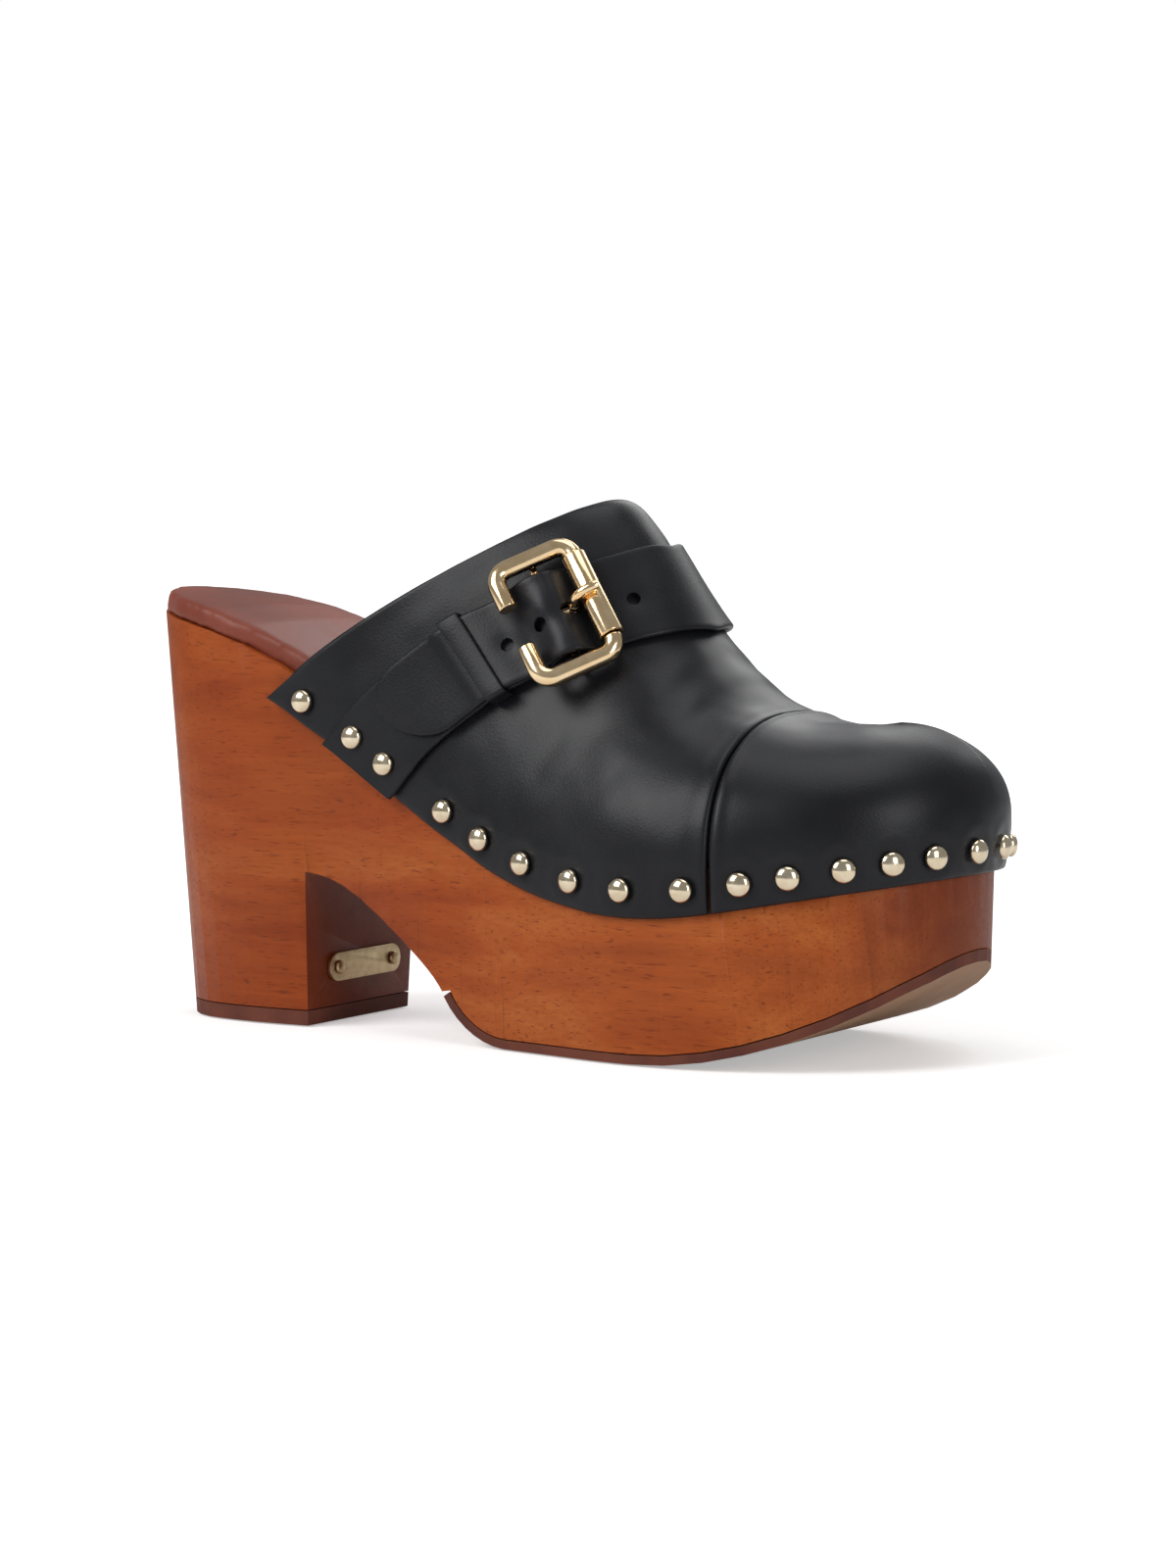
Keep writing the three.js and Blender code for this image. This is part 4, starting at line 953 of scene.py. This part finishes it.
def sleeve(name, bore, outer, half, place, vertices=48):
    """A short tube across the buckle, in millimetres."""
    bpy.ops.object.select_all(action="DESELECT")
    bpy.ops.mesh.primitive_cylinder_add(vertices=vertices, radius=outer / 1000, depth=2 * half / 1000,
                                        rotation=(math.pi / 2, 0, 0))
    piece = bpy.context.object
    piece.name = name
    bpy.ops.object.transform_apply(location=False, rotation=True, scale=False)
    work = bmesh.new()
    work.from_mesh(piece.data)
    ends = [f for f in work.faces if len(f.verts) > 4]
    bmesh.ops.inset_region(work, faces=ends, thickness=(outer - bore) / 1000, use_even_offset=True)
    inner = [f for f in work.faces if len(f.verts) > 4]
    bmesh.ops.bridge_loops(work, edges=[e for f in inner for e in f.edges])
    bmesh.ops.delete(work, geom=inner, context="FACES_ONLY")
    bmesh.ops.recalc_face_normals(work, faces=work.faces)
    work.to_mesh(piece.data)
    work.free()
    piece.data.transform(on_buckle @ Matrix.Translation(Vector(place) / 1000))
    bevelled(piece, 0.0003)
    return piece

PRONG_RADIUS = 1.35
roller = sleeve("buckle_roller_tube", 2.0, 3.25, ROLLER_HALF, (ROLLER_X, 0, FRAME_RISE))
eye = sleeve("prong_eye", 1.3, 2.5, PRONG_RADIUS, (0, 0, 0), 32)

prong_knots = [(1.9, 3.6), (3.8, 3.5), (5, 4.4), (5.4, 6.8), (6.2, 9.5), (8.1, 11.3), (10.6, 11.9),
               (12.2, 11.7)]
prong_line = smooth_line([(x, z - BAR_HEIGHT) for x, z in prong_knots], 48)
prong = rod("buckle_prong_rod", [(x, 0, z) for x, z in prong_line],
            [PRONG_RADIUS] * len(prong_line), 24)
bevelled(prong, 0.0004)
only(prong)
eye.select_set(True)
bpy.ops.object.join()
for piece, body, node in ((buckle, "buckle", "buckle_frame"), (bar, "buckle", None),
                          (roller, "roller", "buckle_roller"), (prong, "prong", "buckle_prong")):
    piece.data.materials.clear()
    piece.data.materials.append(gold)
    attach(piece, body)
    if node:
        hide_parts(node)


# ---------------------------------------------------------------------------------------------
# Studs: dome-headed nails of polished pale gold metal, driven through the leather's lower edge
# into the wood. Each head's rim presses a shallow ring into the leather.
# ---------------------------------------------------------------------------------------------
pale, new, link, shader = material("stud_metal", (0.78, 0.66, 0.47), 0.12, metallic=1.0)
bloom = mottled(new, 420.0)
coloured(new, link, shader, bloom, (0.72, 0.59, 0.40), (0.84, 0.73, 0.55))
link(spread(new, link, bloom, 0.3, 0.7, 0.09, 0.20), shader.inputs["Roughness"])
bumped(new, link, shader, bloom, 0.05, 0.00006)

STUD_RIM = 0.00035
STUD_SHANK = 0.00075
profile = [(0.0, -0.009), (0.00045, -0.0078), (STUD_SHANK, -0.0070), (STUD_SHANK, 0.0), (0.0028, 0.0),
           (STUD_RADIUS, 0.0001)]
for a in np.radians(np.linspace(0, 84, 9)):
    profile.append((STUD_RADIUS * math.cos(a), STUD_RIM + (STUD_RISE - STUD_RIM) * math.sin(a)))
profile.append((0.0, STUD_RISE))
work = bmesh.new()
line = [work.verts.new((r, 0, h)) for r, h in profile]
edges = [work.edges.new(pair) for pair in zip(line, line[1:])]
bmesh.ops.spin(work, geom=line + edges, cent=(0, 0, 0), axis=(0, 0, 1), angle=2 * math.pi, steps=28,
               use_duplicate=False)
bmesh.ops.remove_doubles(work, verts=work.verts, dist=1e-6)
bmesh.ops.recalc_face_normals(work, faces=work.faces)
stud_mesh = bpy.data.meshes.new("stud")
work.to_mesh(stud_mesh)
work.free()
for name in stud_names:
    seat, facing = stud_seats[name]
    mesh = stud_mesh.copy()
    turn = Vector(facing).to_track_quat("Z", "X").to_matrix().to_4x4()
    mesh.transform(Matrix.Translation(Vector(seat)) @ turn)
    mesh.materials.append(pale)
    head = bpy.data.objects.new(name.replace("stud_", "stud_head_"), mesh)
    bpy.context.scene.collection.objects.link(head)
    smooth_by_angle(head, 50)
    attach(head, "shoe")
    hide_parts(name)


# ---------------------------------------------------------------------------------------------
# Heel plaque: a blank brass plate with round ends, satin on its face, held to the front of the
# heel by two screws.
# ---------------------------------------------------------------------------------------------
brass, new, link, shader = material("plaque_brass", (0.62, 0.47, 0.27), 0.34, metallic=1.0)
brush = noise_at(new, link, stretched(new, link, (900.0, 60.0, 2200.0)), 1.0, 3.0, 0.6)
tarnish = mottled(new, 220.0)
coloured(new, link, shader, tarnish, (0.50, 0.37, 0.20), (0.70, 0.54, 0.33))
link(spread(new, link, brush, 0.3, 0.7, 0.30, 0.42), shader.inputs["Roughness"])
bumped(new, link, shader, brush, 0.08, 0.00005)
for name in ("heel_plaque", "plaque_screw_1", "plaque_screw_2"):
    plate = merged_copy(name + "_metal", name)
    bevelled(plate, 0.00022 if name == "heel_plaque" else 0.0001)
    plate.data.materials.append(brass)
    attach(plate, "shoe")
    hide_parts(name)


# ---------------------------------------------------------------------------------------------
# Setting: a wide pale floor under a white surround, and four large soft studio lights.
# ---------------------------------------------------------------------------------------------
FLOOR_SIZE = 60
FLOOR_GLOW = (0.40, 0.95)  # near and far; keeps the paper white where the lights don't reach

floor_material, new, link, shader = material("pale_floor", (0.86, 0.86, 0.86), 0.8, specular=0.1)
paper = mottled(new, 3.0, detail=2.0, rough=0.55)
coloured(new, link, shader, paper, (0.84, 0.84, 0.84), (0.88, 0.88, 0.88))
shader.inputs["Emission Color"].default_value = (1, 1, 1, 1)
seen = new("ShaderNodeLightPath")
spot = new("ShaderNodeTexCoord")
reach = new("ShaderNodeVectorMath")
reach.operation = "LENGTH"
link(spot.outputs["Object"], reach.inputs[0])
glow = new("ShaderNodeMath")
glow.operation = "MULTIPLY"
link(spread(new, link, reach.outputs["Value"], 0.2, 1.2, *FLOOR_GLOW), glow.inputs[1])
link(seen.outputs["Is Camera Ray"], glow.inputs[0])
link(glow.outputs["Value"], shader.inputs["Emission Strength"])
bpy.ops.object.select_all(action="DESELECT")
bpy.ops.mesh.primitive_plane_add(size=FLOOR_SIZE, location=(0, 0, -0.0004))
floor = bpy.context.object
floor.name = "studio_floor"
floor.data.materials.append(floor_material)

WORLD_LIGHT = 0.30
world = bpy.data.worlds.new("studio")
bpy.context.scene.world = world
world.use_nodes = True
tree = world.node_tree
ambient = tree.nodes["Background"]
ambient.inputs["Color"].default_value = (0.96, 0.98, 1.0, 1)
ambient.inputs["Strength"].default_value = WORLD_LIGHT
paper_white = tree.nodes.new("ShaderNodeBackground")
paper_white.inputs["Color"].default_value = (1, 1, 1, 1)
chosen = tree.nodes.new("ShaderNodeMixShader")
tree.links.new(tree.nodes.new("ShaderNodeLightPath").outputs["Is Camera Ray"], chosen.inputs["Fac"])
tree.links.new(ambient.outputs["Background"], chosen.inputs[1])
tree.links.new(paper_white.outputs["Background"], chosen.inputs[2])
tree.links.new(chosen.outputs["Shader"], tree.nodes["World Output"].inputs["Surface"])

def softbox(name, place, target, size, power):
    """A rectangular area light at a place, facing a target."""
    lamp = bpy.data.lights.new(name, "AREA")
    lamp.shape = "RECTANGLE"
    lamp.size, lamp.size_y = size
    lamp.energy = power
    holder = bpy.data.objects.new(name, lamp)
    bpy.context.scene.collection.objects.link(holder)
    holder.location = place
    holder.rotation_mode = "QUATERNION"
    holder.rotation_quaternion = (Vector(target) - Vector(place)).to_track_quat("-Z", "Y")
    return holder

softbox("key_light", (-0.65, -1.05, 0.95), (0, 0, 0.06), (0.9, 0.9), 15.5)
softbox("top_light", (0.10, 0.10, 1.3), (0, 0, 0.06), (1.0, 0.7), 4.0)
softbox("side_light", (1.25, -0.55, 0.50), (0, 0, 0.07), (0.5, 0.8), 5.0)
softbox("rim_light", (0.0, 1.1, 0.8), (0, 0, 0.07), (1.0, 0.6), 5.0)
bpy.context.scene.view_settings.view_transform = "Standard"
